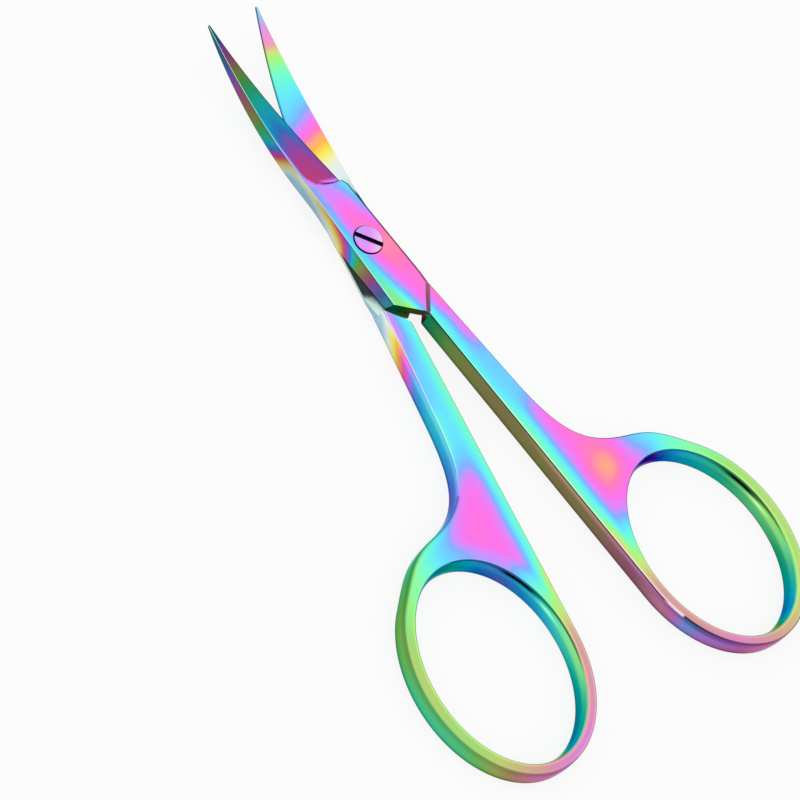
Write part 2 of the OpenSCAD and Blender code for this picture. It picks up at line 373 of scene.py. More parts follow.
def paint(mesh: bpy.types.Mesh, orders: np.ndarray, tones: np.ndarray) -> None:
    """Writes the coating's order, scaled to the palettes' range, and its tone, which holds painted light and
    shade, to a mesh.

    Args:
        mesh: The mesh.
        orders: The order at each corner.
        tones: The tone at each corner.
    """
    low, high = ORDERS
    for name, values in ((ORDER, (orders - low) / (high - low)), (TONE, tones)):
        layer = mesh.attributes.new(name, "FLOAT", "CORNER")
        layer.data.foreach_set("value", np.clip(values, 0.0, 1.0).astype(np.float32))


# The shank and finger ring

@dataclass(frozen=True)
class Handle:
    """Shank and finger ring of one half, with rounded edges and faintly crowned walls."""

    # Sizes in millimetres and angles in degrees
    ring_reach: float = 49.4
    hole_length: float = 24.0
    hole_width: float = 18.3
    ring_turn: float = 1.8
    wall_inner: float = 1.06
    wall_outer: float = 1.315
    wall_end: float = 1.095
    hole_crown: float = 0.12
    # The hole's wall stands in at the top, and leans in further towards the table
    hole_round: float = 0.16
    hole_draft: float = 0.29
    face_down: bool = False
    thickness: float = 2.7
    edge_radius: float = 0.24
    edge_flat: float = 0.1
    wall_crown: float = 0.06
    inner_y: float = -0.03
    shank_width: float = 3.4
    neck_width: float = 2.72
    neck_reach: float = 7.679
    tongue_reach: float = 6.179
    flare_start: float = 22.0
    notch_web: float = 2.0
    notch_drop: float = 0.4
    notch_lean: float = 19.0
    ring_join: float = -42.0
    fullness: tuple[float, float, float, float] = (0.56, 0.39, 0.37, 0.51)
    # Steps of the mesh
    shank_steps: int = 26
    flare_steps: int = 42
    cut_step: int = 24
    web_steps: int = 24
    ring_steps: int = 170
    inner_steps: int = 36
    edge_steps: int = 6
    wall_steps: int = 8
    across: int = 14
    rings: int = 10

    @property
    def hole(self) -> Plane:
        """Half length and half width of the finger hole."""
        return (self.hole_length / 2, self.hole_width / 2)

    @property
    def ring(self) -> Plane:
        """Half length and half width of the finger ring."""
        return (self.hole[0] + self.wall_end, self.hole[1] + (self.wall_inner + self.wall_outer) / 2)

    def half_height(self, axes: Plane) -> float:
        """Gives half the extent across the handle of a turned ellipse."""
        turn = math.radians(self.ring_turn)
        return math.hypot(axes[0] * math.sin(turn), axes[1] * math.cos(turn))

    @property
    def hole_middle(self) -> Plane:
        """Middle of the finger hole."""
        return (-self.ring_reach, self.inner_y - self.wall_inner - self.half_height(self.hole))

    @property
    def ring_middle(self) -> Plane:
        """Middle of the finger ring's outline."""
        return (-self.ring_reach, self.inner_y - self.half_height(self.ring))

    def ellipse(self, middle: Plane, axes: Plane, angle: float) -> Plane:
        """Gives a point of a turned ellipse at an angle in radians."""
        p = turned((axes[0] * math.cos(angle), axes[1] * math.sin(angle)), -self.ring_turn)
        return (middle[0] + p[0], middle[1] + p[1])

    def outer_side(self) -> list[Plane]:
        """Draws the outline from the joint out along the shank and round the ring.

        Returns:
            The points, to where the ring meets the straight inner side.
        """
        slope = (self.shank_width - self.neck_width) / (self.flare_start - self.neck_reach)
        a, b = self.ring
        start = math.radians(self.ring_join)
        turn = math.radians(self.ring_turn)
        end = math.atan2(b * math.cos(turn), -a * math.sin(turn)) - 2 * math.pi
        lean = math.radians(self.notch_lean)
        flare = (-self.flare_start, -self.shank_width)
        notch = (-self.ring_reach + a + self.notch_web, self.ring_middle[1] - self.notch_drop)
        join = self.ellipse(self.ring_middle, self.ring, start)
        down = (-math.sin(lean), -math.cos(lean))
        back = unit((-1.0, -slope))
        join_way = turned(unit((a * math.sin(start), -b * math.cos(start))), -self.ring_turn)
        span = math.dist(flare, notch)
        web = math.dist(notch, join)
        full = self.fullness
        flare_curve = (
            flare,
            step_from(flare, back, full[0] * span),
            step_from(notch, down, -full[1] * span),
            notch,
        )
        web_curve = (
            notch,
            step_from(notch, down, full[2] * web),
            step_from(join, join_way, -full[3] * web),
            join,
        )
        places = [mix(self.tongue_reach, self.flare_start, i / self.shank_steps)
                  for i in range(self.shank_steps + 1)]
        line = [(-x, -self.neck_width - slope * (x - self.neck_reach)) for x in places]
        line += [bezier(flare_curve, i / self.flare_steps) for i in range(1, self.flare_steps + 1)]
        line += [bezier(web_curve, i / self.web_steps) for i in range(1, self.web_steps + 1)]
        line += [self.ellipse(self.ring_middle, self.ring, mix(start, end, i / self.ring_steps))
                 for i in range(1, self.ring_steps + 1)]
        return line

    def outline(self) -> list[Plane]:
        """Draws the whole outline.

        Returns:
            The points, along the outer side and back to the joint on the straight inner side.
        """
        outer = self.outer_side()
        cut = self.shank_steps + self.cut_step
        last = outer[-1][0]
        inner = [(mix(last, outer[cut][0], i / self.inner_steps), self.inner_y)
                 for i in range(1, self.inner_steps)]
        return outer + inner + [(outer[k][0], self.inner_y) for k in range(cut, -1, -1)]

    def profile(self, crown: float, swell: float) -> list[Plane]:
        """Draws a wall from the top face to the bottom face.

        Args:
            crown: How far the wall's ends stand back from its middle.
            swell: How far its middle stands out from the outline.

        Returns:
            Pairs of inset and height.
        """
        r = self.edge_radius
        angles = [math.pi / 2 * i / self.edge_steps for i in range(self.edge_steps + 1)]
        top = [(crown + r + self.edge_flat - swell, self.thickness)]
        for a in angles:
            top.append((crown + r * (1 - math.sin(a)) - swell, self.thickness - r * (1 - math.cos(a))))
        heights = [mix(self.thickness - r, r, i / self.wall_steps) for i in range(1, self.wall_steps)]
        middle = self.thickness / 2
        wall = [(crown * ((z - middle) / (middle - r)) ** 2 - swell, z) for z in heights]
        return top + wall + [(inset, self.thickness - z) for inset, z in reversed(top)]

    def kinds(self, wall: Surface) -> list[Surface]:
        """Gives the surface of each step down a wall: an edge, the wall and an edge."""
        edge = [Surface.EDGE] * (self.edge_steps + 1)
        return edge + [wall] * self.wall_steps + edge

    def skin(self) -> Skin:
        """Builds the closed shell of the handle.

        Returns:
            The shell, not yet cut for the joint.
        """
        skin = Skin()
        line = self.outline()
        last = len(line) - 1
        cut = self.shank_steps + self.cut_step
        wall = self.profile(self.wall_crown, 0.0)
        posts = []
        for k, p in enumerate(line):
            way = unit((line[min(last, k + 1)][0] - line[max(0, k - 1)][0],
                        line[min(last, k + 1)][1] - line[max(0, k - 1)][1]))
            posts.append(skin.add((p[0] + i * way[1], p[1] - i * way[0], z) for i, z in wall))
        for a, b in zip(posts, posts[1:]):
            skin.strip(b, a, self.kinds(Surface.WALL))
        caps = []
        for end in (0, -1):
            rows = []
            for k in range(cut + 1):
                a, b = skin.points[posts[k][end]], skin.points[posts[last - k][end]]
                inside = skin.add(between(a, b, self.across))
                rows.append([posts[k][end]] + inside + [posts[last - k][end]])
            for a, b in zip(rows, rows[1:]) if end == 0 else zip(rows[1:], rows):
                skin.strip(a, b, [Surface.FACE])
            loop = [posts[k][end] for k in range(cut, last - cut + 1)] + rows[cut][-2:0:-1]
            caps.append((rows[0], loop))
        self.pierce(skin, caps[0][1], caps[1][1])
        skin.face(posts[0][::-1] + caps[0][0][1:-1] + posts[last] + caps[1][0][-2:0:-1], Surface.END)
        return skin

    def pierce(self, skin: Skin, top: Sequence[int], bottom: Sequence[int]) -> None:
        """Adds the finger hole and the flat faces around it.

        Args:
            skin: The handle's shell.
            top: Loop of points around the hole on the top face.
            bottom: The same loop on the bottom face.
        """
        a, b = self.hole
        wall = []
        for inset, z in self.profile(self.hole_crown, self.hole_crown):
            foot = z / self.thickness if self.face_down else 1 - z / self.thickness
            wall.append((inset - self.hole_round - self.hole_draft * foot, z))
        columns = []
        for q in top:
            p = skin.points[q]
            v = turned((p[0] - self.hole_middle[0], p[1] - self.hole_middle[1]), self.ring_turn)
            angle = math.atan2(v[1] / b, v[0] / a)
            rim = self.ellipse(self.hole_middle, self.hole, angle)
            out = turned(unit((math.cos(angle) / a, math.sin(angle) / b)), -self.ring_turn)
            columns.append(skin.add((rim[0] + i * out[0], rim[1] + i * out[1], z) for i, z in wall))
        flats = []
        for loop, end in ((top, 0), (bottom, -1)):
            spokes = []
            for q, column in zip(loop, columns):
                inside = skin.add(between(skin.points[q], skin.points[column[end]], self.rings))
                spokes.append([q] + inside + [column[end]])
            flats.append(spokes)
        n = len(top)
        for i in range(n):
            j = (i + 1) % n
            skin.strip(columns[i], columns[j], self.kinds(Surface.HOLE))
            skin.strip(flats[0][i], flats[0][j], [Surface.FACE])
            skin.strip(flats[1][j], flats[1][i], [Surface.FACE])


# The joint block and the blade

@dataclass(frozen=True)
class Blade:
    """Joint block and curved blade of one half, ground to a bevel on its outer face."""

    handle: Handle = Handle()
    # Sizes in millimetres and angles in degrees
    block_width: float = 5.6
    block_drop: float = 0.2
    step_run: float = 0.45
    step_angle: float = 41.5
    side_lean: float = 0.45
    spine_lean: float = 0.65
    vee_reach: float = 10.2
    vee_angle: float = 48.0
    shoulder_gap: float = 0.45
    gap: float = 0.03
    reach: float = 29.6
    start: float = 8.0
    curve_start: float = 10.0
    rise: float = 3.4
    spine_width: float = 2.45
    edge_width: float = 2.9
    tip_width: float = 0.16
    tip_thickness: float = 0.16
    edge_thickness: float = 0.05
    heel_reach: float = 7.25
    heel_sweep: float = 1.5
    heel_run: float = 0.5
    heel_round: Plane = (0.6, 0.3)
    spine_run: float = 9.0
    bury: Plane = (0.4, 0.1)
    spine_power: float = 1.65
    edge_power: float = 1.2
    taper_power: float = 2.45
    heel_power: float = 1.5
    # Worn edges, the most that they take of the width, the spine and the edge, and how far they spread
    edge_break: float = 0.02
    block_break: float = 0.035
    break_limit: Point = (0.2, 0.25, 0.4)
    break_spread: Plane = (0.3, 0.7)
    # Narrow level land along the spine, and the columns that draw it and the rim
    land: Plane = (0.012, 0.26)
    land_limit: float = 0.1
    land_reach: Plane = (18.0, 10.0)
    land_share: float = 0.05
    rim_share: float = 0.035
    # Steps of the mesh
    block_steps: int = 44
    blade_steps: int = 90
    step_power: float = 1.05
    columns: int = 16
    side_rows: int = 4

    @property
    def middle(self) -> float:
        """Height of the plane between the two halves."""
        return self.handle.thickness / 2

    @property
    def block_top(self) -> float:
        """Height of the block's outer face."""
        return self.handle.thickness - self.block_drop

    @property
    def block_height(self) -> float:
        """Height of the block's outer face above that plane."""
        return self.block_top - self.middle

    @property
    def side_width(self) -> float:
        """Half the block's width at its mating face."""
        return self.block_width / 2 + self.side_lean * (self.block_height - self.gap)

    def curve(self, r: float) -> float:
        """Gives the rise of the mating surface, an arc turned about the pivot's axis.

        Args:
            r: Distance from the pivot.

        Returns:
            The rise.
        """
        if r < self.curve_start:
            return 0.0
        run = self.reach - self.curve_start
        radius = (run * run + self.rise * self.rise) / 2 / self.rise
        return radius - math.sqrt(radius * radius - (r - self.curve_start) ** 2)

    def along(self, x: float) -> float:
        """Says how far along the blade a place is, from 0 at its root to 1 at its tip."""
        return min(1.0, max(0.0, (x - self.start) / (self.reach - self.start)))

    def spine_height(self, x: float) -> float:
        """Gives the spine's thickness."""
        return mix(self.block_height, self.tip_thickness, self.along(x) ** self.taper_power)

    def spine_y(self, x: float) -> float:
        """Gives the spine's side at the mating surface.

        Args:
            x: Distance along the blade.

        Returns:
            The place across it.
        """
        if x < self.start:
            return mix(self.side_width, self.spine_width, ramp(x, self.start - self.spine_run, self.start))
        return mix(self.spine_width, self.tip_width, self.along(x) ** self.spine_power)

    def top_y(self, x: float) -> float:
        """Gives the spine's side at the outer face: a straight line along the block, then leaning in.

        Args:
            x: Distance along the blade.

        Returns:
            The place across it.
        """
        if x < self.start:
            root = self.spine_width - self.spine_lean * (self.block_height - self.gap)
            neck = self.handle.neck_reach
            return mix(self.block_width / 2, root, (x + neck) / (self.start + neck))
        return self.spine_y(x) - self.spine_lean * (self.spine_height(x) - self.gap)

    def edge_y(self, x: float) -> float:
        """Gives the cutting edge's side."""
        return -mix(self.edge_width, self.tip_width, self.along(x) ** self.edge_power)

    def heel_x(self, v: float) -> float:
        """Gives the upper end of the bevel at a share of the width from the spine."""
        return self.heel_reach + self.heel_sweep * (1 - v) ** self.heel_power

    def shares(self) -> list[float]:
        """Spaces the columns.

        Returns:
            Each column's share of the width: a land by the spine, the face and a narrow rim.
        """
        wide = self.columns - 2
        face = [mix(self.land_share, 1 - self.rim_share, i / wide) for i in range(wide + 1)]
        return [0.0] + face + [1.0]

    def section(self, place: Callable[[float], float], top: Callable[[float], Plane],
                spine: float, edge: float, wear: float) -> tuple[list[Point], list[Point]]:
        """Draws one row of the grid across the block or the blade.

        Args:
            place: Distance from the pivot at a share of the width.
            top: Side and height of the outer face at a share of the width.
            spine: Side of the spine at the mating surface.
            edge: Other side at the mating surface.
            wear: Size of the worn edges.

        Returns:
            The upper row from the spine's foot over the top to the other foot, and the lower row.
        """
        shares = self.shares()
        (y0, h0), (y1, h1) = top(0.0), top(1.0)
        limit = self.break_limit
        break_in = min(wear, limit[0] * (y0 - y1))
        spine_break = min(wear, limit[1] * (h0 - self.gap))
        edge_break = min(wear, limit[2] * (h1 - self.gap))
        spine_end, edge_start = self.break_spread
        upper = []
        for i in range(self.side_rows + 1):
            t = i / self.side_rows * (1 - spine_break / (h0 - self.gap))
            upper.append((place(0.0), mix(spine, y0, t), mix(self.gap, h0, t)))
        for v in shares:
            y, h = top(v)
            shift = break_in * ramp(v, spine_end, 0.0) - min(break_in, edge_break) * ramp(v, edge_start, 1.0)
            upper.append((place(v), y - shift, h))
        for i in range(self.side_rows, -1, -1):
            t = i / self.side_rows * (1 - edge_break / (h1 - self.gap))
            upper.append((place(1.0), mix(edge, y1, t), mix(self.gap, h1, t)))
        lower = [(place(v), mix(spine, edge, v), self.gap) for v in shares]
        return upper, lower

    def block_row(self, x: float) -> tuple[list[Point], list[Point]]:
        """Draws a row of the joint block."""
        half = self.block_width / 2
        return self.section(lambda v: x, lambda v: (mix(self.top_y(x), -half, v), self.block_height),
                            self.spine_y(x), -self.side_width, self.block_break)

    def heel_row(self) -> tuple[list[Point], list[Point]]:
        """Draws the row where the block's face ends at the bevel.

        Returns:
            The upper and the lower row.
        """
        root = self.heel_x(0.0)
        outer = self.heel_round[1] - self.block_width / 2
        return self.section(self.heel_x, lambda v: (mix(self.top_y(root), outer, v), self.block_height),
                            self.spine_y(root), -self.edge_width, self.edge_break)

    def blade_row(self, t: float) -> tuple[list[Point], list[Point]]:
        """Draws a row of the blade.

        Args:
            t: Share of the blade's length.

        Returns:
            The upper and the lower row.
        """
        def place(v: float) -> float:
            """Gives the distance from the pivot."""
            return mix(self.heel_x(v) + self.heel_run, self.reach, t)

        x = place(0.0)
        edge = self.edge_y(place(1.0))
        h = self.spine_height(x)
        low = self.gap + self.edge_thickness
        inner = self.top_y(x)
        land = min(mix(*self.land, ramp(x, *self.land_reach)), self.land_limit * (inner - edge))

        def top(v: float) -> Plane:
            """Draws the outer face: level over the land, then down the bevel.

            Args:
                v: Share of the width.

            Returns:
                Side and height.
            """
            if v < self.land_share:
                return (inner - land * v / self.land_share, h)
            share = (v - self.land_share) / (1 - self.land_share)
            return (mix(inner - land, edge, share), mix(h, low, share))

        return self.section(place, top, self.spine_y(x), edge, self.edge_break)

    def end_row(self) -> tuple[list[Point], list[Point]]:
        """Draws the V-shaped end: its open arm, and the rest buried behind the shoulder.

        Returns:
            The upper and the lower row.
        """
        lean = math.radians(self.vee_angle)
        half = self.columns // 2
        buried = self.shoulder_gap / math.sin(lean) + self.bury[0]

        def side(left: float, i: int) -> float:
            """Gives the place across the end of a column.

            Args:
                left: Place of the first column.
                i: The column's number.

            Returns:
                The place.
            """
            if i < half:
                return mix(left, self.handle.inner_y, i / (half - 1))
            outer = -self.handle.neck_width + self.bury[1]
            return mix(self.handle.inner_y - self.bury[1], outer, (i - half) / (self.columns - half))

        def place(y: float, i: int) -> float:
            """Gives the distance from the pivot of that column."""
            return -self.vee_reach + abs(y) / math.tan(lean) - (0.0 if i < half else buried)

        tall = self.block_height
        cut = self.block_break / (tall - self.gap)
        upper = []
        for i in range(self.side_rows + 1):
            y = mix(self.side_width, self.block_width / 2, i / self.side_rows * (1 - cut))
            upper.append((place(y, 0), y, mix(self.gap, tall, i / self.side_rows * (1 - cut))))
        for i in range(self.columns + 1):
            y = side(self.block_width / 2 - self.block_break, i)
            upper.append((place(y, i), y, tall))
        x, y, _ = upper[-1]
        for i in range(self.side_rows, -1, -1):
            upper.append((x, y, mix(self.gap, tall, i / self.side_rows * (1 - cut))))
        sides = [side(self.side_width, i) for i in range(self.columns + 1)]
        return upper, [(place(y, i), y, self.gap) for i, y in enumerate(sides)]

    def skin(self, bend: int) -> Skin:
        """Builds the closed shell of block and blade.

        Args:
            bend: 1 where the blade curves away from its mating face, or -1.

        Returns:
            The shell.
        """
        front = self.heel_reach - self.heel_round[0]
        places = [mix(-self.handle.tongue_reach, front, i / self.block_steps)
                  for i in range(self.block_steps + 1)]
        rows = [self.end_row()] + [self.block_row(x) for x in places] + [self.heel_row()]
        shares = [(i / self.blade_steps) ** self.step_power for i in range(self.blade_steps + 1)]
        rows += [self.blade_row(t) for t in shares]
        ground = len(places) + 1
        skin = Skin()

        def lifted(row: Sequence[Point]) -> list[int]:
            """Adds a row at its height on the curved mating surface."""
            return skin.add((x, y, self.middle + h + bend * self.curve(math.hypot(x, y))) for x, y, h in row)

        uppers = []
        lowers = []
        for upper, lower in rows:
            top = lifted(upper)
            inside = lifted(lower[1:-1])
            uppers.append(top)
            lowers.append([top[0]] + inside + [top[-1]])
        side = self.side_rows + 1
        for i in range(len(rows) - 1):
            land = rows[i][0][side][0] < self.land_reach[0]
            flat = Surface.BLOCK if i < ground else Surface.BEVEL
            kinds = [Surface.FLANK] * self.side_rows + [Surface.EDGE, Surface.BLOCK if land else flat]
            kinds += [flat] * (self.columns - 2) + [Surface.EDGE] * 2 + [Surface.FLANK] * self.side_rows
            skin.strip(uppers[i], uppers[i + 1], kinds)
            skin.strip(lowers[i + 1], lowers[i], [Surface.MATING])
        half = self.columns // 2
        first = uppers[0]
        base = lowers[0]
        skin.face(first[side + half - 1::-1] + base[1:half], Surface.END)
        skin.face((first[side + half], first[side + half - 1], base[half - 1], base[half]), Surface.END)
        skin.face(first[:side + half - 1:-1] + base[half:-1], Surface.END)
        skin.face(uppers[-1] + lowers[-1][-2:0:-1], Surface.BEVEL)
        return skin


# The coating

@dataclass(frozen=True)
class Fade:
    """A change that is nothing up to its start and whole beyond its end."""

    amount: float
    start: float
    end: float

    def at(self, x: np.ndarray) -> np.ndarray:
        """Gives the change at each place."""
        return self.amount * ramp(x, self.start, self.end)


@dataclass(frozen=True)
class Hump:
    """A change that is whole at its middle and dies away to both sides."""

    amount: float
    middle: float
    width: float

    def at(self, x: np.ndarray) -> np.ndarray:
        """Gives the change at each place."""
        return self.amount * np.exp(-((x - self.middle) / self.width) ** 2)


@dataclass(frozen=True)
class Plan:
    """Says where a place lies on one half, which is drawn closed.

    Its up is 1 where the drawn top is also the top of the scissors, and -1 where it is the bottom.
    """

    blade: Blade
    up: int
    rim_width: float = 0.45
    ring_start: float = -38.0
    shank_middle: float = -1.0
    inner_side: float = -1.5
    inner_normal: float = 0.3
    level_normal: float = 0.1
    angle_step: int = 2

    def angle(self, x: np.ndarray, y: np.ndarray) -> np.ndarray:
        """Gives the angle around the finger hole's middle.

        Args:
            x: Places along the handle.
            y: Places across it.

        Returns:
            The angles in degrees, 0 towards the joint.
        """
        handle = self.blade.handle
        turn = math.radians(handle.ring_turn)
        dx = x - handle.hole_middle[0]
        dy = y - handle.hole_middle[1]
        a, b = handle.hole
        return np.degrees(np.arctan2((dx * math.sin(turn) + dy * math.cos(turn)) / b,
                                     (dx * math.cos(turn) - dy * math.sin(turn)) / a))

    def height(self, z: np.ndarray) -> np.ndarray:
        """Gives the height above the table of a height in the closed half."""
        return z if self.up > 0 else self.blade.handle.thickness - z

    def upper(self, z: np.ndarray) -> np.ndarray:
        """Says which places lie above the plane between the halves."""
        return self.height(z) > self.blade.middle

    def tilt(self, n: np.ndarray) -> np.ndarray:
        """Gives the tilt of the faces in degrees, 0 where they lie flat."""
        return np.degrees(np.arccos(np.clip(np.abs(n[2]), 0.0, 1.0)))

    def hole_distance(self, x: np.ndarray, y: np.ndarray) -> np.ndarray:
        """Gives the distance to the rim of the finger hole.

        Args:
            x: Places along the handle.
            y: Places across it.

        Returns:
            The distances.
        """
        handle = self.blade.handle
        angles = (math.radians(a) for a in range(-180, 180, self.angle_step))
        return distance([handle.ellipse(handle.hole_middle, handle.hole, a) for a in angles], x, y)

    def flare_distance(self, x: np.ndarray, y: np.ndarray) -> np.ndarray:
        """Gives the distance to the outer side of the flare."""
        handle = self.blade.handle
        return distance(handle.outer_side()[handle.shank_steps:-handle.ring_steps], x, y)

    def inner(self, y: np.ndarray, n: np.ndarray) -> np.ndarray:
        """Says which places are on the wall that faces the other shank."""
        return (n[1] > self.inner_normal) & (y > self.inner_side)

    def on_blade(self, x: np.ndarray) -> np.ndarray:
        """Says which places are on the joint block or the blade."""
        return x > -self.blade.handle.neck_reach

    def on_rim(self, x: np.ndarray, y: np.ndarray) -> np.ndarray:
        """Says which edges go round the finger hole."""
        return (self.hole_distance(x, y) < self.rim_width) & ~self.on_blade(x)

    def across(self, x: np.ndarray, y: np.ndarray) -> np.ndarray:
        """Gives the share of the blade's width from its spine.

        Args:
            x: Places along the blade.
            y: Places across it.

        Returns:
            The shares, 1 at the cutting edge.
        """
        top = np.vectorize(self.blade.top_y)(x)
        edge = np.vectorize(self.blade.edge_y)(x)
        return np.clip((top - y) / (top - edge), 0.0, 1.0)

    def edge_distance(self, x: np.ndarray, y: np.ndarray) -> np.ndarray:
        """Gives the distance across the blade from its cutting edge."""
        return y - np.vectorize(self.blade.edge_y)(x)

    def outward(self, x: np.ndarray, y: np.ndarray, n: np.ndarray) -> np.ndarray:
        """Says how far an edge of the handle faces across it.

        Args:
            x: Places along the handle.
            y: Places across it.
            n: The faces' normals.

        Returns:
            From -1 to 1, from the normal or, on an edge's flat part, from its place.
        """
        radial = np.sin(np.radians(self.angle(x, y)))
        ring = np.where(self.hole_distance(x, y) < self.rim_width, -radial, radial)
        place = np.where(x < self.ring_start, ring, np.where(y > self.shank_middle, 1.0, -1.0))
        level = np.hypot(n[0], n[1])
        return np.where(level < self.level_normal, place, n[1] / np.maximum(level, self.level_normal))

    def facing(self, x: np.ndarray, y: np.ndarray, n: np.ndarray) -> np.ndarray:
        """Says how far an edge faces the inner side of the front half, or the outer side of the back half."""
        return self.up * np.where(self.on_blade(x), np.sign(y), self.outward(x, y, n))


@dataclass(frozen=True)
class FaceFilm:
    """Coating on the flat faces of shank and ring, further on where the metal is slim."""

    plan: Plan
    # Shifts of this half's bands: in the slender shank, in the flare, by the joint and along the flare's rim
    lead: float
    lag: float
    push: float
    rim: float
    # Shifts of its spot in the flare and of the ring's two ends
    spot: float
    web: float
    joint_fade: Plane
    flare_fade: Plane
    outer_tone: float
    inner_tone: float = 0.58
    outer_dim: Plane = (-30.0, -70.0)
    inner_dim: Plane = (72.0, 95.0)
    push_along: Plane = (-12.5, -10.0)
    push_across: Plane = (-0.5, -1.4)
    inner_lift: Fade = Fade(0.4, -38.0, -48.0)
    lift_across: Plane = (-2.0, -0.3)
    rim_reach: float = 1.0
    spot_at: Plane = (-35.9, -5.3)
    spot_area: float = 7.0
    web_near: Hump = Hump(1.0, 15.0, 35.0)
    web_far: Hump = Hump(0.5, 180.0, 35.0)
    round_outer: Plane = (-42.0, -65.0)
    round_inner: Plane = (62.0, 80.0)
    round_rim: Plane = (2.2, 0.4)
    # Across the shank from its inner side: at the joint, where it is slender, and in the flare
    neck: Stops = ((0.0, 0.58), (0.8, 0.53), (1.4, 0.41), (2.0, 0.29), (2.8, 0.2))
    slender: Stops = ((0.0, 0.68), (0.8, 0.595), (1.4, 0.525), (2.0, 0.47), (2.6, 0.445), (4.0, 0.43))
    flare: Stops = (
        (0.0, 0.68), (0.5, 0.635), (1.0, 0.58), (1.4, 0.49), (2.0, 0.33), (3.0, 0.2), (4.5, 0.145),
        (6.0, 0.13), (8.0, 0.2), (10.0, 0.37), (12.0, 0.5), (15.0, 0.62),
    )
    # Round the finger hole, by angle from the joint
    ring: Stops = (
        (-180.0, 1.0), (-160.0, 0.91), (-145.0, 0.84), (-120.0, 0.785), (-90.0, 0.8), (-60.0, 0.755),
        (-40.0, 0.715), (-20.0, 0.645), (0.0, 0.405), (15.0, 0.27), (30.0, 0.235), (42.0, 0.27),
        (60.0, 0.575), (80.0, 0.82), (92.0, 0.94), (110.0, 0.98), (130.0, 1.02), (155.0, 1.05), (180.0, 1.0),
    )

    def order(self, x: np.ndarray, y: np.ndarray) -> np.ndarray:
        """Gives the order.

        Args:
            x: Places along the handle.
            y: Places across it.

        Returns:
            The orders.
        """
        plan = self.plan
        shank = mix(through(self.slender, self.lead - y), through(self.neck, -y), ramp(x, *self.joint_fade))
        shank = shank - self.push * ramp(x, *self.push_along) * ramp(y, *self.push_across)
        shank = mix(shank, through(self.flare, -y - self.lag), ramp(x, *self.flare_fade))
        shank = shank + self.inner_lift.at(x) * ramp(y, *self.lift_across)
        shank = shank + self.rim * np.exp(-plan.flare_distance(x, y) / self.rim_reach)
        away = (x - self.spot_at[0]) ** 2 + (y - self.spot_at[1]) ** 2
        shank = shank + self.spot * np.exp(-away / self.spot_area)
        angle = plan.angle(x, y)
        ends = self.web_near.at(angle) + self.web_far.at(np.abs(angle))
        ring = through(self.ring, angle) + self.web * ends
        round_hole = np.maximum(ramp(angle, *self.round_inner), ramp(angle, *self.round_outer))
        return mix(shank, ring, np.maximum(round_hole, ramp(plan.hole_distance(x, y), *self.round_rim)))

    def coat(self, p: np.ndarray, n: np.ndarray) -> Coat:
        """Coats the faces.

        Args:
            p: The points.
            n: The faces' normals, not used.

        Returns:
            Order and tone.
        """
        angle = self.plan.angle(p[0], p[1])
        tone = mix(CLEAR, self.outer_tone, ramp(angle, *self.outer_dim))
        return self.order(p[0], p[1]), mix(tone, self.inner_tone, ramp(angle, *self.inner_dim))


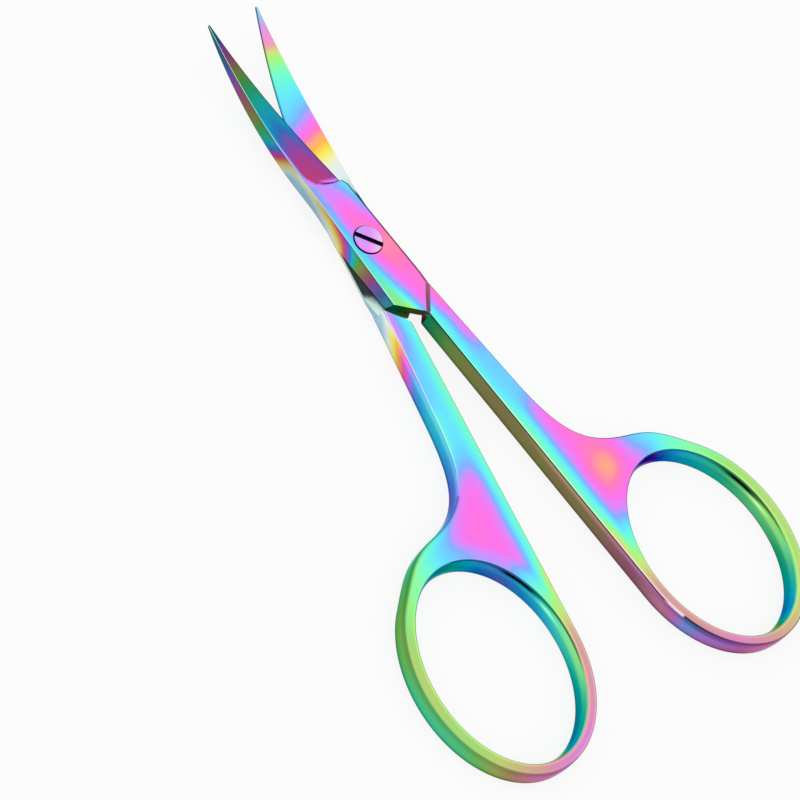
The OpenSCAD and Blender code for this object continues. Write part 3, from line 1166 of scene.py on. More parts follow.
@dataclass(frozen=True)
class WallFilm:
    """Coating on the upright walls, darker than the faces as painted shade, with painted light near the top
    of a shank and painted shade at their feet.
    """

    plan: Plan
    # Where the ring's bands take over from the shank's
    outer_round: Plane = (24.0, 16.0)
    outer_along: Plane = (-28.0, -31.0)
    inner_round: Plane = (65.0, 85.0)
    inner_angle: float = 70.0
    # Painted light and shade: tones of the wall between the shanks, of the outer wall and round the ring
    top: Plane = (1.7, 2.3)
    wide: Plane = (-26.0, -33.0)
    wide_light: float = 0.12
    wide_shift: float = 0.05
    inner_tone: float = 0.32
    inner_dark: Fade = Fade(-0.13, -15.0, -11.0)
    outer_tone: float = 0.41
    outer_top: float = 0.17
    outer_light: Fade = Fade(0.1, -20.0, -16.0)
    ring_tone: float = 0.43
    ring_top: float = -0.05
    ring_dark: Hump = Hump(-0.12, 125.0, 18.0)
    ring_light: Fade = Fade(0.09, 145.0, 165.0)
    ring_inner: Plane = (-46.0, -52.0)
    ring_outer: Plane = (-30.0, -34.0)
    # Painted shade at the feet of the walls
    foot_shade: Fade = Fade(-0.1, 0.9, 0.2)
    # Change of order for each millimetre up the outer wall, at the joint and in the flare
    slant: Plane = (0.12, 0.03)
    slant_along: Plane = (-14.0, -22.0)
    # Round the ring by angle, and along the shank
    ring: Stops = (
        (-180.0, 1.05), (-165.0, 1.04), (-152.0, 0.94), (-140.0, 0.83), (-115.0, 0.69), (-85.0, 0.69),
        (-60.0, 0.75), (-40.0, 0.74), (-25.0, 0.68), (-10.0, 0.62), (3.0, 0.55), (13.0, 0.42), (22.0, 0.33),
        (70.0, 0.97), (92.0, 1.0), (107.0, 1.06), (115.0, 1.22), (124.0, 1.14), (138.0, 1.08), (152.0, 1.04),
        (180.0, 1.05),
    )
    outer: Stops = (
        (-34.0, 0.33), (-29.0, 0.38), (-24.0, 0.5), (-20.5, 0.5), (-17.7, 0.37), (-14.8, 0.11),
        (-11.8, -0.22), (-10.2, -0.4), (-9.0, -0.5),
    )
    inner: Stops = (
        (-50.0, 1.03), (-45.0, 0.98), (-40.0, 0.91), (-30.0, 0.86), (-22.0, 0.86), (-17.0, 0.82),
        (-15.0, 0.79), (-13.0, 0.71), (-11.0, 0.66),
    )

    def order(self, x: np.ndarray, y: np.ndarray, n: np.ndarray) -> np.ndarray:
        """Gives the order halfway up.

        Args:
            x: Places along the handle.
            y: Places across it.
            n: The faces' normals.

        Returns:
            The orders.
        """
        angle = self.plan.angle(x, y)
        ring = through(self.ring, angle)
        share = ramp(angle, *self.outer_round) * ramp(x, *self.outer_along)
        outer = mix(through(self.outer, x), ring, share)
        inner = mix(through(self.inner, x), ring, ramp(angle, *self.inner_round))
        return np.where(self.plan.inner(y, n) | (angle > self.inner_angle), inner, outer)

    def coat(self, p: np.ndarray, n: np.ndarray) -> Coat:
        """Coats the walls.

        Args:
            p: The points.
            n: The faces' normals.

        Returns:
            Order and tone.
        """
        x, y, z = p
        high = self.plan.height(z)
        angle = self.plan.angle(x, y)
        inner = self.plan.inner(y, n)
        # Painted light near the top, painted shade at the feet and by the joint
        top = ramp(high, *self.top)
        wide = top * ramp(x, *self.wide)
        dim = self.inner_tone + self.wide_light * wide + self.inner_dark.at(x)
        vivid = self.outer_tone + self.outer_top * top + self.outer_light.at(x)
        ring = self.ring_tone + self.ring_light.at(np.abs(angle))
        ring = ring + top * (self.ring_top + self.ring_dark.at(angle))
        share = np.where(inner, ramp(x, *self.ring_inner), ramp(x, *self.ring_outer))
        tone = mix(np.where(inner, dim, vivid), ring, share) + self.foot_shade.at(high)
        slant = np.where(inner, 0.0, mix(*self.slant, ramp(x, *self.slant_along)))
        order = self.order(x, y, n) + slant * (high - self.plan.blade.middle)
        return order + self.wide_shift * wide * inner, tone


@dataclass(frozen=True)
class HoleFilm:
    """Coating on the finger hole's wall, with painted shade as a crest halfway up and a wedge at the top, and
    a painted highlight by it.
    """

    plan: Plan
    # Shifts of this half's order and tone at the end by the joint
    end_order: float
    end_tone: float
    # Painted shade in a wedge at the top, and a painted highlight beside it
    shade_wedge: Hump
    painted_highlight: Hump
    end: Hump = Hump(1.0, 0.0, 20.0)
    low: Plane = (2.1, 0.7)
    # Shift of the order at the foot, on the inner and on the outer side of the ring
    foot_shift: Plane = (-0.15, -0.06)
    shade_crest: Hump = Hump(-0.06, 1.35, 0.2)
    shade_wedge_top: Plane = (2.3, 2.5)
    shade_wedge_drop: float = 0.3
    painted_highlight_height: Hump = Hump(1.0, 1.95, 0.15)
    # Round the hole by angle from the joint
    wall: Stops = (
        (-180.0, 0.8), (-162.0, 0.5), (-140.0, 0.58), (-120.0, 0.68), (-90.0, 0.76), (-60.0, 0.66),
        (-40.0, 0.56), (-15.0, 0.45), (10.0, 0.47), (28.0, 0.42), (45.0, 0.42), (62.0, 0.57), (80.0, 0.67),
        (100.0, 0.72), (120.0, 0.67), (140.0, 0.61), (162.0, 0.54), (180.0, 0.8),
    )
    # Painted light and shade: tones at the wall's top and at its foot, by angle to either side
    top_tone: Stops = (
        (0.0, 0.24), (20.0, 0.32), (60.0, 0.38), (90.0, 0.58), (112.0, 0.54), (132.0, 0.38), (180.0, 0.4),
    )
    foot_tone: Stops = ((0.0, 0.42), (20.0, 0.3), (60.0, 0.32), (90.0, 0.4), (130.0, 0.27), (180.0, 0.4))

    def coat(self, p: np.ndarray, n: np.ndarray) -> Coat:
        """Coats the wall.

        Args:
            p: The points.
            n: The faces' normals, not used.

        Returns:
            Order and tone.
        """
        x, y, z = p
        high = self.plan.height(z)
        angle = self.plan.angle(x, y)
        low = ramp(high, *self.low)
        end = self.end.at(angle)
        shift = np.where(angle > 0, *self.foot_shift) * np.sin(np.radians(angle)) ** 2
        order = through(self.wall, angle) + shift * low + self.end_order * end
        tone = mix(through(self.top_tone, np.abs(angle)), through(self.foot_tone, np.abs(angle)), low)
        # Painted shade as a crest and a wedge, and a painted highlight beside the wedge
        tone = tone + self.shade_crest.at(high) + self.end_tone * end * (1 - low)
        shade_wedge = self.shade_wedge.at(angle)
        drop = self.shade_wedge_drop * shade_wedge / self.shade_wedge.amount
        tone = tone + shade_wedge * ramp(high + drop, *self.shade_wedge_top)
        return order, tone + self.painted_highlight.at(angle) * self.painted_highlight_height.at(high)


@dataclass(frozen=True)
class JointFilm:
    """Coating on the joint block's face and ends and in its bores."""

    dull_tone: float = 0.6
    dull: Plane = (1.2, 2.0)
    # The ends are near black where they stand upright, and mauve on the sloped step
    end_order: float = 0.62
    end_shift: Hump = Hump(0.35, -0.2, 1.3)
    end_tone: float = 0.1
    step_normal: Plane = (0.5, 0.8)
    step_order: float = 1.0
    step_tone: float = 0.38
    step_dark: Fade = Fade(-0.12, -1.5, 0.0)
    # The bores are near black
    bore_order: float = 0.9
    bore_tone: float = 0.1
    # Along the block: its lowest order, where across it that lies, and how it curves up to either side
    low: Stops = (
        (-9.0, 0.13), (-6.0, 0.15), (-4.0, 0.115), (-2.0, 0.08), (1.0, 0.1), (3.0, 0.14), (5.0, 0.195),
        (7.0, 0.28),
    )
    valley: Stops = ((-9.0, -1.8), (-7.0, -1.4), (-4.0, -1.2), (-2.0, -1.0), (3.0, -0.35), (7.0, 0.1))
    left: Stops = (
        (-9.0, 0.075), (-7.0, 0.06), (-4.0, 0.0515), (-2.0, 0.056), (3.0, 0.07), (5.0, 0.08), (7.0, 0.045),
    )
    right: Stops = ((-1.0, 0.0), (1.0, 0.015), (3.0, 0.034), (7.0, 0.036))
    most: Stops = ((-9.0, 0.75), (-6.5, 0.71), (-4.0, 0.61), (3.0, 0.47), (7.0, 0.36))

    def order(self, x: np.ndarray, y: np.ndarray) -> np.ndarray:
        """Gives the order on the face, lowest along a line near its middle.

        Args:
            x: Places along the block.
            y: Places across it.

        Returns:
            The orders.
        """
        offset = y - through(self.valley, x)
        rise = np.where(offset > 0, through(self.left, x), through(self.right, x))
        most = np.where(offset > 0, through(self.most, x), 1.0)
        return np.minimum(through(self.low, x) + rise * offset ** 2, most)

    def face(self, p: np.ndarray, n: np.ndarray) -> Coat:
        """Coats the face."""
        return self.order(p[0], p[1]), mix(CLEAR, self.dull_tone, ramp(p[1], *self.dull))

    def end(self, p: np.ndarray, n: np.ndarray) -> Coat:
        """Coats the ends.

        Args:
            p: The points.
            n: The faces' normals.

        Returns:
            Order and tone.
        """
        slope = ramp(np.abs(n[2]), *self.step_normal)
        order = mix(self.end_order + self.end_shift.at(p[1]), self.step_order, slope)
        return order, mix(self.end_tone, self.step_tone, slope) + slope * self.step_dark.at(p[1])

    def bore(self, p: np.ndarray, n: np.ndarray) -> Coat:
        """Coats the bores."""
        return np.full(p[0].shape, self.bore_order), np.full(p[0].shape, self.bore_tone)


@dataclass(frozen=True)
class BladeFilm:
    """Coating on the sides of block and blade, on the ground bevel and on the mating face."""

    plan: Plan
    # Sides: change of the order from foot to top, and tones
    slant: float = 0.3
    slant_more: Fade = Fade(0.26, 12.0, 9.0)
    slant_from: Plane = (-2.0, 0.0)
    slant_to: Plane = (17.0, 15.0)
    side_tone: float = 0.36
    side_light: Fade = Fade(0.08, 1.0, 5.0)
    side_light_to: Plane = (11.5, 9.0)
    side_dark: Fade = Fade(-0.14, 22.0, 27.0)
    # Painted shade in a dark line at the top of the sides, under the spine's painted highlight
    top_shade: Fade = Fade(-0.18, 0.8, 1.0)
    far_tone: float = 0.42
    keen_tone: float = 0.15
    # Bevel: further on at both sides near its root, and pale on the short slope at its heel
    rise: Fade = Fade(0.16, 19.0, 16.0)
    rise_share: Plane = (0.5, 0.6)
    rise_along: Plane = (12.0, 14.5)
    bevel_tone: float = 0.34
    bevel_dark: Fade = Fade(-0.12, 26.0, 28.0)
    bevel_keen: Plane = (0.2, 0.05)
    heel_order: float = 0.24
    heel_tone: float = 0.68
    heel_run: Plane = (1.05, 0.6)
    heel_share: Plane = (0.3, 0.65)
    heel_corner: Plane = (2.7, 2.97)
    heel_width: float = 4.0
    # Mating face: bands aslant, and painted shade where the other half's block covers it in the joint
    skew: Fade = Fade(2.0, 20.0, 17.0)
    skew_from: Plane = (8.0, 10.0)
    skew_middle: float = 0.4
    mating_keen: Plane = (0.25, 0.05)
    mating_keen_from: Plane = (9.0, 12.0)
    joint_shade: Plane = (7.6, 6.3)
    joint_shade_tone: float = 0.02
    # Along block and blade: the spine's side, the block's other side, the bevel and the mating face
    spine: Stops = (
        (-8.0, 1.5), (-6.0, 1.24), (-4.0, 1.06), (-2.5, 0.87), (-1.0, 0.62), (0.0, 0.34), (1.0, 0.08),
        (3.0, -0.14), (6.0, -0.31), (9.0, -0.47), (11.0, -0.36), (12.0, -0.2), (13.0, 0.02), (14.0, 0.27),
        (15.0, 0.48), (17.0, 0.69), (19.0, 0.86), (21.0, 1.01), (24.0, 1.18), (27.0, 1.38), (29.6, 1.45),
    )
    far_side: Stops = ((-8.0, -0.5), (-3.0, -0.38), (1.5, -0.2), (4.5, -0.06), (7.5, 0.1))
    bevel: Stops = (
        (7.0, 0.09), (10.0, 0.11), (13.0, 0.20), (15.0, 0.31), (18.0, 0.50), (21.0, 0.66), (23.0, 0.76),
        (24.2, 0.86), (25.2, 1.0), (26.5, 1.07), (27.4, 1.22), (28.4, 1.36), (29.6, 1.42),
    )
    mating: Stops = (
        (0.0, -0.38), (8.0, -0.40), (9.5, -0.33), (11.0, -0.18), (13.0, -0.01), (15.0, 0.20), (17.0, 0.39),
        (19.0, 0.51), (21.0, 0.60), (23.0, 0.72), (24.2, 0.80), (24.9, 0.92), (25.5, 1.03), (26.6, 1.08),
        (27.4, 1.15), (28.4, 1.24), (29.6, 1.33),
    )

    def side(self, p: np.ndarray, n: np.ndarray) -> Coat:
        """Coats the sides.

        Args:
            p: The points.
            n: The faces' normals, not used.

        Returns:
            Order and tone.
        """
        x, y, _ = p
        blade = self.plan.blade
        foot = np.vectorize(blade.spine_y)(x)
        top = np.vectorize(blade.top_y)(x)
        share = np.clip((foot - y) / (foot - top), 0.0, 1.0)
        slant = (self.slant + self.slant_more.at(x)) * ramp(x, *self.slant_from) * ramp(x, *self.slant_to)
        tone = self.side_tone + self.side_light.at(x) * ramp(x, *self.side_light_to) + self.side_dark.at(x)
        # Painted shade along the top of the sides
        tone = tone + self.top_shade.at(share)
        keen = (y < 0) & (x > blade.start)
        far = (y < 0) & ~keen
        order = np.where(far, through(self.far_side, x), through(self.spine, x) + slant * (share - 0.5))
        return order, np.select([keen, far], [self.keen_tone, self.far_tone], default=tone)

    def ground(self, p: np.ndarray, n: np.ndarray) -> Coat:
        """Coats the bevel.

        Args:
            p: The points.
            n: The faces' normals, not used.

        Returns:
            Order and tone.
        """
        x, y, _ = p
        share = self.plan.across(x, y)
        rise = self.rise.at(x) * (2 * share - 1) ** 2
        rise = rise * np.maximum(ramp(share, *self.rise_share), ramp(x, *self.rise_along))
        run = x - self.plan.blade.heel_x(share)
        heel = ramp(run, *self.heel_run) * ramp(share, *self.heel_share)
        corner = self.heel_corner[0]
        off = np.hypot(np.maximum(corner - run, 0.0), np.maximum(corner - self.heel_width * share, 0.0))
        heel = np.maximum(heel, ramp(off, *self.heel_corner))
        tone = self.bevel_tone + self.bevel_dark.at(x)
        tone = mix(tone, self.keen_tone, ramp(self.plan.edge_distance(x, y), *self.bevel_keen))
        return mix(through(self.bevel, x) + rise, self.heel_order, heel), mix(tone, self.heel_tone, heel)

    def lapped(self, p: np.ndarray, n: np.ndarray) -> Coat:
        """Coats the mating face.

        Args:
            p: The points.
            n: The faces' normals, not used.

        Returns:
            Order and tone.
        """
        x, y, _ = p
        shift = self.skew.at(x) * (self.plan.across(x, y) - self.skew_middle) * ramp(x, *self.skew_from)
        keen = ramp(self.plan.edge_distance(x, y), *self.mating_keen) * ramp(x, *self.mating_keen_from)
        tone = mix(CLEAR, self.keen_tone, keen)
        # Painted shade near the pivot, under the other half's block
        tone = mix(tone, self.joint_shade_tone, ramp(np.hypot(x, y), *self.joint_shade))
        return through(self.mating, x + shift), tone


@dataclass(frozen=True)
class PaintedEdgeLight:
    """Painted highlights and painted shade along the edges, as bright and dark lines.

    Levels are the tones in five bands, from an edge's flat part over its rounding to the wall.
    """

    plan: Plan
    # This half's painted highlight along the shank, the painted bright tip and dark streak that follow it
    # round the ring, and the painted shade of its other side
    glint: Levels
    glint_end: float
    glint_fade: Plane
    streak: Levels
    streak_run: float
    shade: Levels
    tilts: tuple[float, float, float, float] = (10.0, 30.0, 50.0, 75.0)
    glint_tip: float = 1.2
    streak_start: float = 1.0
    # Painted highlight along the blade's spine on the lit side, and painted shade on the other
    spine: Levels = (0.8, 0.8, 0.8, 0.8, 0.8)
    far_spine: Levels = (0.2, 0.2, 0.2, 0.2, 0.2)
    # Painted shade along the lower edges
    foot: Levels = (0.12, 0.12, 0.12, 0.12, 0.15)
    # Round the finger hole: a painted highlight and a painted dark line on the lit side, painted shade on the
    # far side
    rim: Levels = (CLEAR, 0.72, 0.3, 0.12, 0.2)
    far_rim: Levels = (CLEAR, CLEAR, 0.5, 0.3, 0.25)
    soft_rim: Levels = (CLEAR, 0.64, 0.6, 0.57, 0.55)
    soft_from: Plane = (92.0, 118.0)
    plain: Levels = (0.58, 0.45, 0.42, 0.38, 0.36)
    # The two sides meet softly at the ring's end
    meeting: Levels = (0.59, 0.53, 0.5, 0.44, 0.38)
    meeting_start: float = -56.0
    meeting_fade: Plane = (0.05, 0.5)

    def run_out(self, tone: np.ndarray, x: np.ndarray, tilt: np.ndarray) -> np.ndarray:
        """Ends the painted highlight along the shank in a bright tip and a painted dark streak that grows
        plain.

        Args:
            tone: The tones so far.
            x: Places along the handle.
            tilt: Tilt of the faces in degrees.

        Returns:
            The tones.
        """
        past = x - self.glint_end
        tip = (tilt > self.tilts[2]) & (np.abs(past - self.glint_tip) < self.glint_tip)
        tone = np.where(tip, self.glint[2], tone)
        plain = np.array(self.plain)[np.digitize(tilt, self.tilts)]
        return np.where(past < 0.0, mix(tone, plain, ramp(past, -self.streak_start, -self.streak_run)), tone)

    def tone(self, p: np.ndarray, n: np.ndarray) -> np.ndarray:
        """Gives the tone: painted highlights and painted shade.

        Args:
            p: The points.
            n: The faces' normals.

        Returns:
            The tones.
        """
        x, y, z = p
        tilt = self.plan.tilt(n)
        band = np.digitize(tilt, self.tilts)
        facing = self.plan.facing(x, y, n)
        near = facing > 0
        blade = self.plan.on_blade(x)
        rim = self.plan.on_rim(x, y)
        upper = self.plan.upper(z)
        cases = (
            (blade & near, self.spine),
            (blade, self.far_spine),
            (~upper, self.foot),
            (rim & near, self.rim),
            (rim, self.far_rim),
            (~near, self.shade),
            (x > self.glint_end, self.glint),
            (x < 0.0, self.streak),
        )
        tone = np.select([case for case, _ in cases], [np.array(levels)[band] for _, levels in cases])
        outer = ~rim & ~blade
        tone = np.where(outer & near & upper, self.run_out(tone, x, tilt), tone)
        meeting = mix(np.array(self.meeting)[band], tone, ramp(np.abs(facing), *self.meeting_fade))
        tone = np.where(outer & upper & (x < self.meeting_start), meeting, tone)
        soft = ramp(np.abs(self.plan.angle(x, y)), *self.soft_from)
        tone = np.where(rim & upper, mix(tone, np.array(self.soft_rim)[band], soft), tone)
        bright = outer & near & (tone > CLEAR)
        return np.where(bright, mix(CLEAR, tone, ramp(x, *self.glint_fade)), tone)


@dataclass(frozen=True)
class Film:
    """Interference coating over one half: its order, and how much of the steel shines through.

    The order runs from 0 for peach over magenta, blue, mint and lime to 1 for pink. The tone runs
    from dark oxide over a deep and a clear film to bare steel, and holds painted highlights and
    painted shade.
    """

    plan: Plan
    face: FaceFilm
    wall: WallFilm
    hole: HoleFilm
    joint: JointFilm
    blade: BladeFilm
    # Painted highlights and painted shade along the edges
    wear: PaintedEdgeLight
    wall_tilt: float = 45.0
    rim_tilt: Plane = (5.0, 85.0)

    def edge(self, p: np.ndarray, n: np.ndarray) -> Coat:
        """Coats the edges, with the order of the surfaces that meet there and their painted highlights and
        shade.

        Args:
            p: The points.
            n: The faces' normals.

        Returns:
            Order and tone.
        """
        x, y, _ = p
        tilt = self.plan.tilt(n)
        face = self.face.order(x, y)
        on_blade = np.where(x < self.plan.blade.start, self.joint.order(x, y), through(self.blade.bevel, x))
        in_hole = mix(face, through(self.hole.wall, self.plan.angle(x, y)), ramp(tilt, *self.rim_tilt))
        outside = np.where(tilt < self.wall_tilt, face, self.wall.order(x, y, n))
        cases = [self.plan.on_blade(x), self.plan.on_rim(x, y)]
        return np.select(cases, [on_blade, in_hole], default=outside), self.wear.tone(p, n)

    def coat(self, obj: bpy.types.Object) -> None:
        """Writes order and tone to the mesh, for the finishes to read.

        Args:
            obj: The half, closed.
        """
        surfaces = {
            Surface.FACE: self.face.coat,
            Surface.BLOCK: self.joint.face,
            Surface.WALL: self.wall.coat,
            Surface.HOLE: self.hole.coat,
            Surface.FLANK: self.blade.side,
            Surface.BEVEL: self.blade.ground,
            Surface.MATING: self.blade.lapped,
            Surface.END: self.joint.end,
            Surface.BORE: self.joint.bore,
            Surface.EDGE: self.edge,
        }
        kinds, places, normals = corners(obj.data)
        orders = np.zeros(len(kinds))
        tones = np.zeros(len(kinds))
        for kind, coat in surfaces.items():
            here = kinds == kind.value
            if here.any():
                orders[here], tones[here] = coat(places[:, here], normals[:, here])
        paint(obj.data, orders, tones)


def front_film() -> Film:
    """Sets the bands and the painted edge highlights and shade of the front half.

    Returns:
        Its coating.
    """
    plan = Plan(Blade(), 1)
    return Film(
        plan,
        FaceFilm(plan, lead=0.7, lag=0.05, push=0.12, rim=0.0, spot=-0.115, web=-0.09,
                 joint_fade=(-18.5, -14.0), flare_fade=(-22.5, -27.5), outer_tone=0.6),
        WallFilm(plan),
        HoleFilm(plan, end_order=-0.2, end_tone=-0.1,
                 shade_wedge=Hump(-0.55, -74.0, 22.0), painted_highlight=Hump(0.4, -87.0, 7.0)),
        JointFilm(),
        BladeFilm(plan),
        PaintedEdgeLight(plan, glint=(CLEAR, 0.74, 0.86, 0.12, 0.3), glint_end=-53.8, glint_fade=(-14.0, -26.0),
                 streak=(0.55, 0.12, 0.08, 0.1, 0.2), streak_run=11.0, shade=(CLEAR, 0.4, 0.2, 0.2, 0.2)),
    )


def back_film() -> Film:
    """Sets the bands and the painted edge highlights and shade of the back half, whose drawn top lies
    underneath.

    Returns:
        Its coating.
    """
    plan = Plan(Blade(Handle(face_down=True)), -1)
    return Film(
        plan,
        FaceFilm(plan, lead=0.0, lag=-0.2, push=-0.04, rim=0.2, spot=0.02, web=0.09,
                 joint_fade=(-17.0, -9.5), flare_fade=(-24.5, -31.0), outer_tone=0.57),
        WallFilm(plan),
        HoleFilm(plan, end_order=0.13, end_tone=0.0,
                 shade_wedge=Hump(-0.55, 52.0, 20.0), painted_highlight=Hump(0.4, 74.0, 7.0)),
        JointFilm(),
        BladeFilm(plan),
        PaintedEdgeLight(plan, glint=(CLEAR, 0.78, 0.84, 0.66, 0.5), glint_end=-31.0, glint_fade=(-31.0, -26.0),
                 streak=(0.6, 0.5, 0.45, 0.4, 0.36), streak_run=5.0, shade=(CLEAR, 0.62, 0.6, 0.5, 0.4)),
    )


# Finishes

ORDERS = (-0.5, 1.5)
CLEAR_FILM = (
    (-0.5, "B0D4E6"), (-0.36, "E6F2EE"), (-0.25, "F4F2B0"), (-0.15, "F8EE58"), (-0.05, "FFB850"),
    (0.02, "FFA88C"), (0.09, "FF80B8"), (0.17, "FF74EA"), (0.27, "D88CFF"), (0.36, "86AEFF"),
    (0.43, "72CCFF"), (0.51, "68E6FF"), (0.59, "6EF8E2"), (0.67, "80FFC0"), (0.74, "A0FA88"),
    (0.82, "D0E882"), (0.89, "E2CB92"), (0.97, "E8B0AA"), (1.05, "F29AD2"), (1.13, "D4A0EC"),
    (1.22, "A8C0EC"), (1.35, "8FD8DC"), (1.5, "90D8B0"),
)
DEEP_FILM = (
    (-0.5, "94C4D8"), (-0.36, "C2DCD0"), (-0.25, "CED4A4"), (-0.15, "D2C274"), (-0.05, "CC9858"),
    (0.03, "C46858"), (0.1, "BC4278"), (0.18, "A4479C"), (0.27, "7A54B4"), (0.36, "3F6CBE"),
    (0.43, "2484C2"), (0.51, "1E9EBE"), (0.59, "1FA89E"), (0.67, "2AA06A"), (0.74, "4E9048"),
    (0.82, "748248"), (0.89, "80704C"), (0.97, "8A5E60"), (1.04, "8C4C78"), (1.12, "8054A8"),
    (1.22, "4F68B4"), (1.35, "2A88A0"), (1.5, "2A9080"),
)
WHITE = "FFFFFF"
# Near black for dark oxide and for painted shade, and bare steel for bare metal and painted highlights
OXIDE = "08070A"
BARE_STEEL = "F6F7F8"


def linear(code: str) -> tuple[float, float, float, float]:
    """Turns an sRGB hex colour to linear light.

    Args:
        code: Six hex digits.

    Returns:
        Red, green, blue and a full alpha.
    """
    parts = [int(code[i:i + 2], 16) / 255 for i in (0, 2, 4)]
    light = [c / 12.92 if c <= 0.04045 else ((c + 0.055) / 1.055) ** 2.4 for c in parts]
    return (light[0], light[1], light[2], 1.0)


def add_node(tree: bpy.types.NodeTree, kind: str, inputs: dict[str | int, object], stops: Sequence = (),
             **settings: object) -> bpy.types.Node:
    """Adds a node with its settings and links.

    Args:
        tree: The tree.
        kind: The node's type.
        inputs: For each input, the socket that feeds it or its value.
        stops: Places and linear colours of a colour ramp.
        **settings: The node's own settings.

    Returns:
        The node.
    """
    made = tree.nodes.new(kind)
    for name, value in settings.items():
        setattr(made, name, value)
    for name, value in inputs.items():
        if isinstance(value, bpy.types.NodeSocket):
            tree.links.new(value, made.inputs[name])
        else:
            made.inputs[name].default_value = value
    for i, (place, colour) in enumerate(stops):
        ramp_stops = made.color_ramp.elements
        stop = ramp_stops[i] if i < 2 else ramp_stops.new(place)
        stop.position = place
        stop.color = colour
    return made


@dataclass(frozen=True)
class CoatedSteel:
    """Stainless steel with a titanium interference coating, which gives the eye bands of colour.

    The bands follow the film's order, and its tone says how much of the steel shines through, with
    painted highlights and painted shade mixed in. A polish leaves a clear mirror, and grinding leaves
    fine lines, drawn coarser here than they are.
    """

    name: str
    roughness: float
    # Slow drift of the film's thickness
    wander_mm: float = 5.0
    wander: float = 0.02
    # Uneven haze of the polish, and the shares of the roughness between which it varies
    haze_mm: float = 0.8
    haze_range: Plane = (0.3, 0.7)
    haze_share: Plane = (0.8, 1.25)
    # Grinding lines, really about 0.02 mm apart, drawn six times as coarse so that they show
    line_mm: float = 0.12
    line_length_mm: float = 3.0
    line_height_mm: float = 0.02
    line_depth: float = 0.0
    # Share of white in the reflection at grazing angles
    sheen: float = 0.3

    def colour(self, tree: bpy.types.NodeTree, place: bpy.types.NodeSocket) -> bpy.types.NodeSocket:
        """Adds the nodes for the film's colour, with the painted light and shade that its tone holds.

        Args:
            tree: The material's tree.
            place: The place on the piece.

        Returns:
            The colour.
        """
        low, high = ORDERS
        film = add_node(tree, "ShaderNodeAttribute", {}, attribute_name=ORDER).outputs["Fac"]
        noise = add_node(tree, "ShaderNodeTexNoise", {
            "Vector": place, "Scale": 1 / (self.wander_mm * MM), "Detail": 2.0}).outputs["Fac"]
        shift = add_node(tree, "ShaderNodeMapRange", {
            "Value": noise, "To Min": -self.wander, "To Max": self.wander}).outputs["Result"]
        order = add_node(tree, "ShaderNodeMath", {0: film, 1: shift}, operation="ADD").outputs["Value"]
        films = []
        for palette in (DEEP_FILM, CLEAR_FILM):
            stops = [((place - low) / (high - low), linear(code)) for place, code in palette]
            films.append(add_node(tree, "ShaderNodeValToRGB", {"Fac": order}, stops).outputs["Color"])
        tone = add_node(tree, "ShaderNodeAttribute", {}, attribute_name=TONE).outputs["Fac"]
        colour: bpy.types.NodeSocket | tuple = linear(OXIDE)
        layers = (films[0], films[1], linear(BARE_STEEL))
        for start, end, layer in zip(tuple(Tone), tuple(Tone)[1:], layers):
            share = add_node(tree, "ShaderNodeMapRange", {
                "Value": tone, "From Min": start.value, "From Max": end.value}).outputs["Result"]
            colour = add_node(tree, "ShaderNodeMixRGB", {
                "Fac": share, "Color1": colour, "Color2": layer}).outputs["Color"]
        return colour

    def material(self) -> bpy.types.Material:
        """Makes the material.

        Returns:
            The material.
        """
        made = bpy.data.materials.new(self.name)
        made.use_nodes = True
        tree = made.node_tree
        tree.nodes.clear()
        place = add_node(tree, "ShaderNodeTexCoord", {}).outputs["Object"]
        haze = add_node(tree, "ShaderNodeTexNoise", {
            "Vector": place, "Scale": 1 / (self.haze_mm * MM), "Detail": 3.0}).outputs["Fac"]
        rough = add_node(tree, "ShaderNodeMapRange", {
            "Value": haze, "From Min": self.haze_range[0], "From Max": self.haze_range[1],
            "To Min": self.roughness * self.haze_share[0],
            "To Max": self.roughness * self.haze_share[1]}).outputs["Result"]
        colour = self.colour(tree, place)
        # The film keeps its colour at grazing angles, where bare steel would go white
        tint = add_node(tree, "ShaderNodeMixRGB", {
            "Fac": self.sheen, "Color1": colour, "Color2": linear(WHITE)}).outputs["Color"]
        inputs = {"Base Color": colour, "Specular Tint": tint, "Metallic": 1.0, "Roughness": rough}
        if self.line_depth:
            fine = 1 / (self.line_mm * MM)
            long = 1 / (self.line_length_mm * MM)
            grain = add_node(tree, "ShaderNodeMapping", {
                "Vector": place, "Scale": (fine, long, long)}).outputs["Vector"]
            lines = add_node(tree, "ShaderNodeTexNoise", {
                "Vector": grain, "Scale": 1.0, "Detail": 2.0}).outputs["Fac"]
            inputs["Normal"] = add_node(tree, "ShaderNodeBump", {
                "Height": lines, "Strength": self.line_depth,
                "Distance": self.line_height_mm * MM}).outputs["Normal"]
        shader = add_node(tree, "ShaderNodeBsdfPrincipled", inputs)
        add_node(tree, "ShaderNodeOutputMaterial", {"Surface": shader.outputs["BSDF"]})
        return made


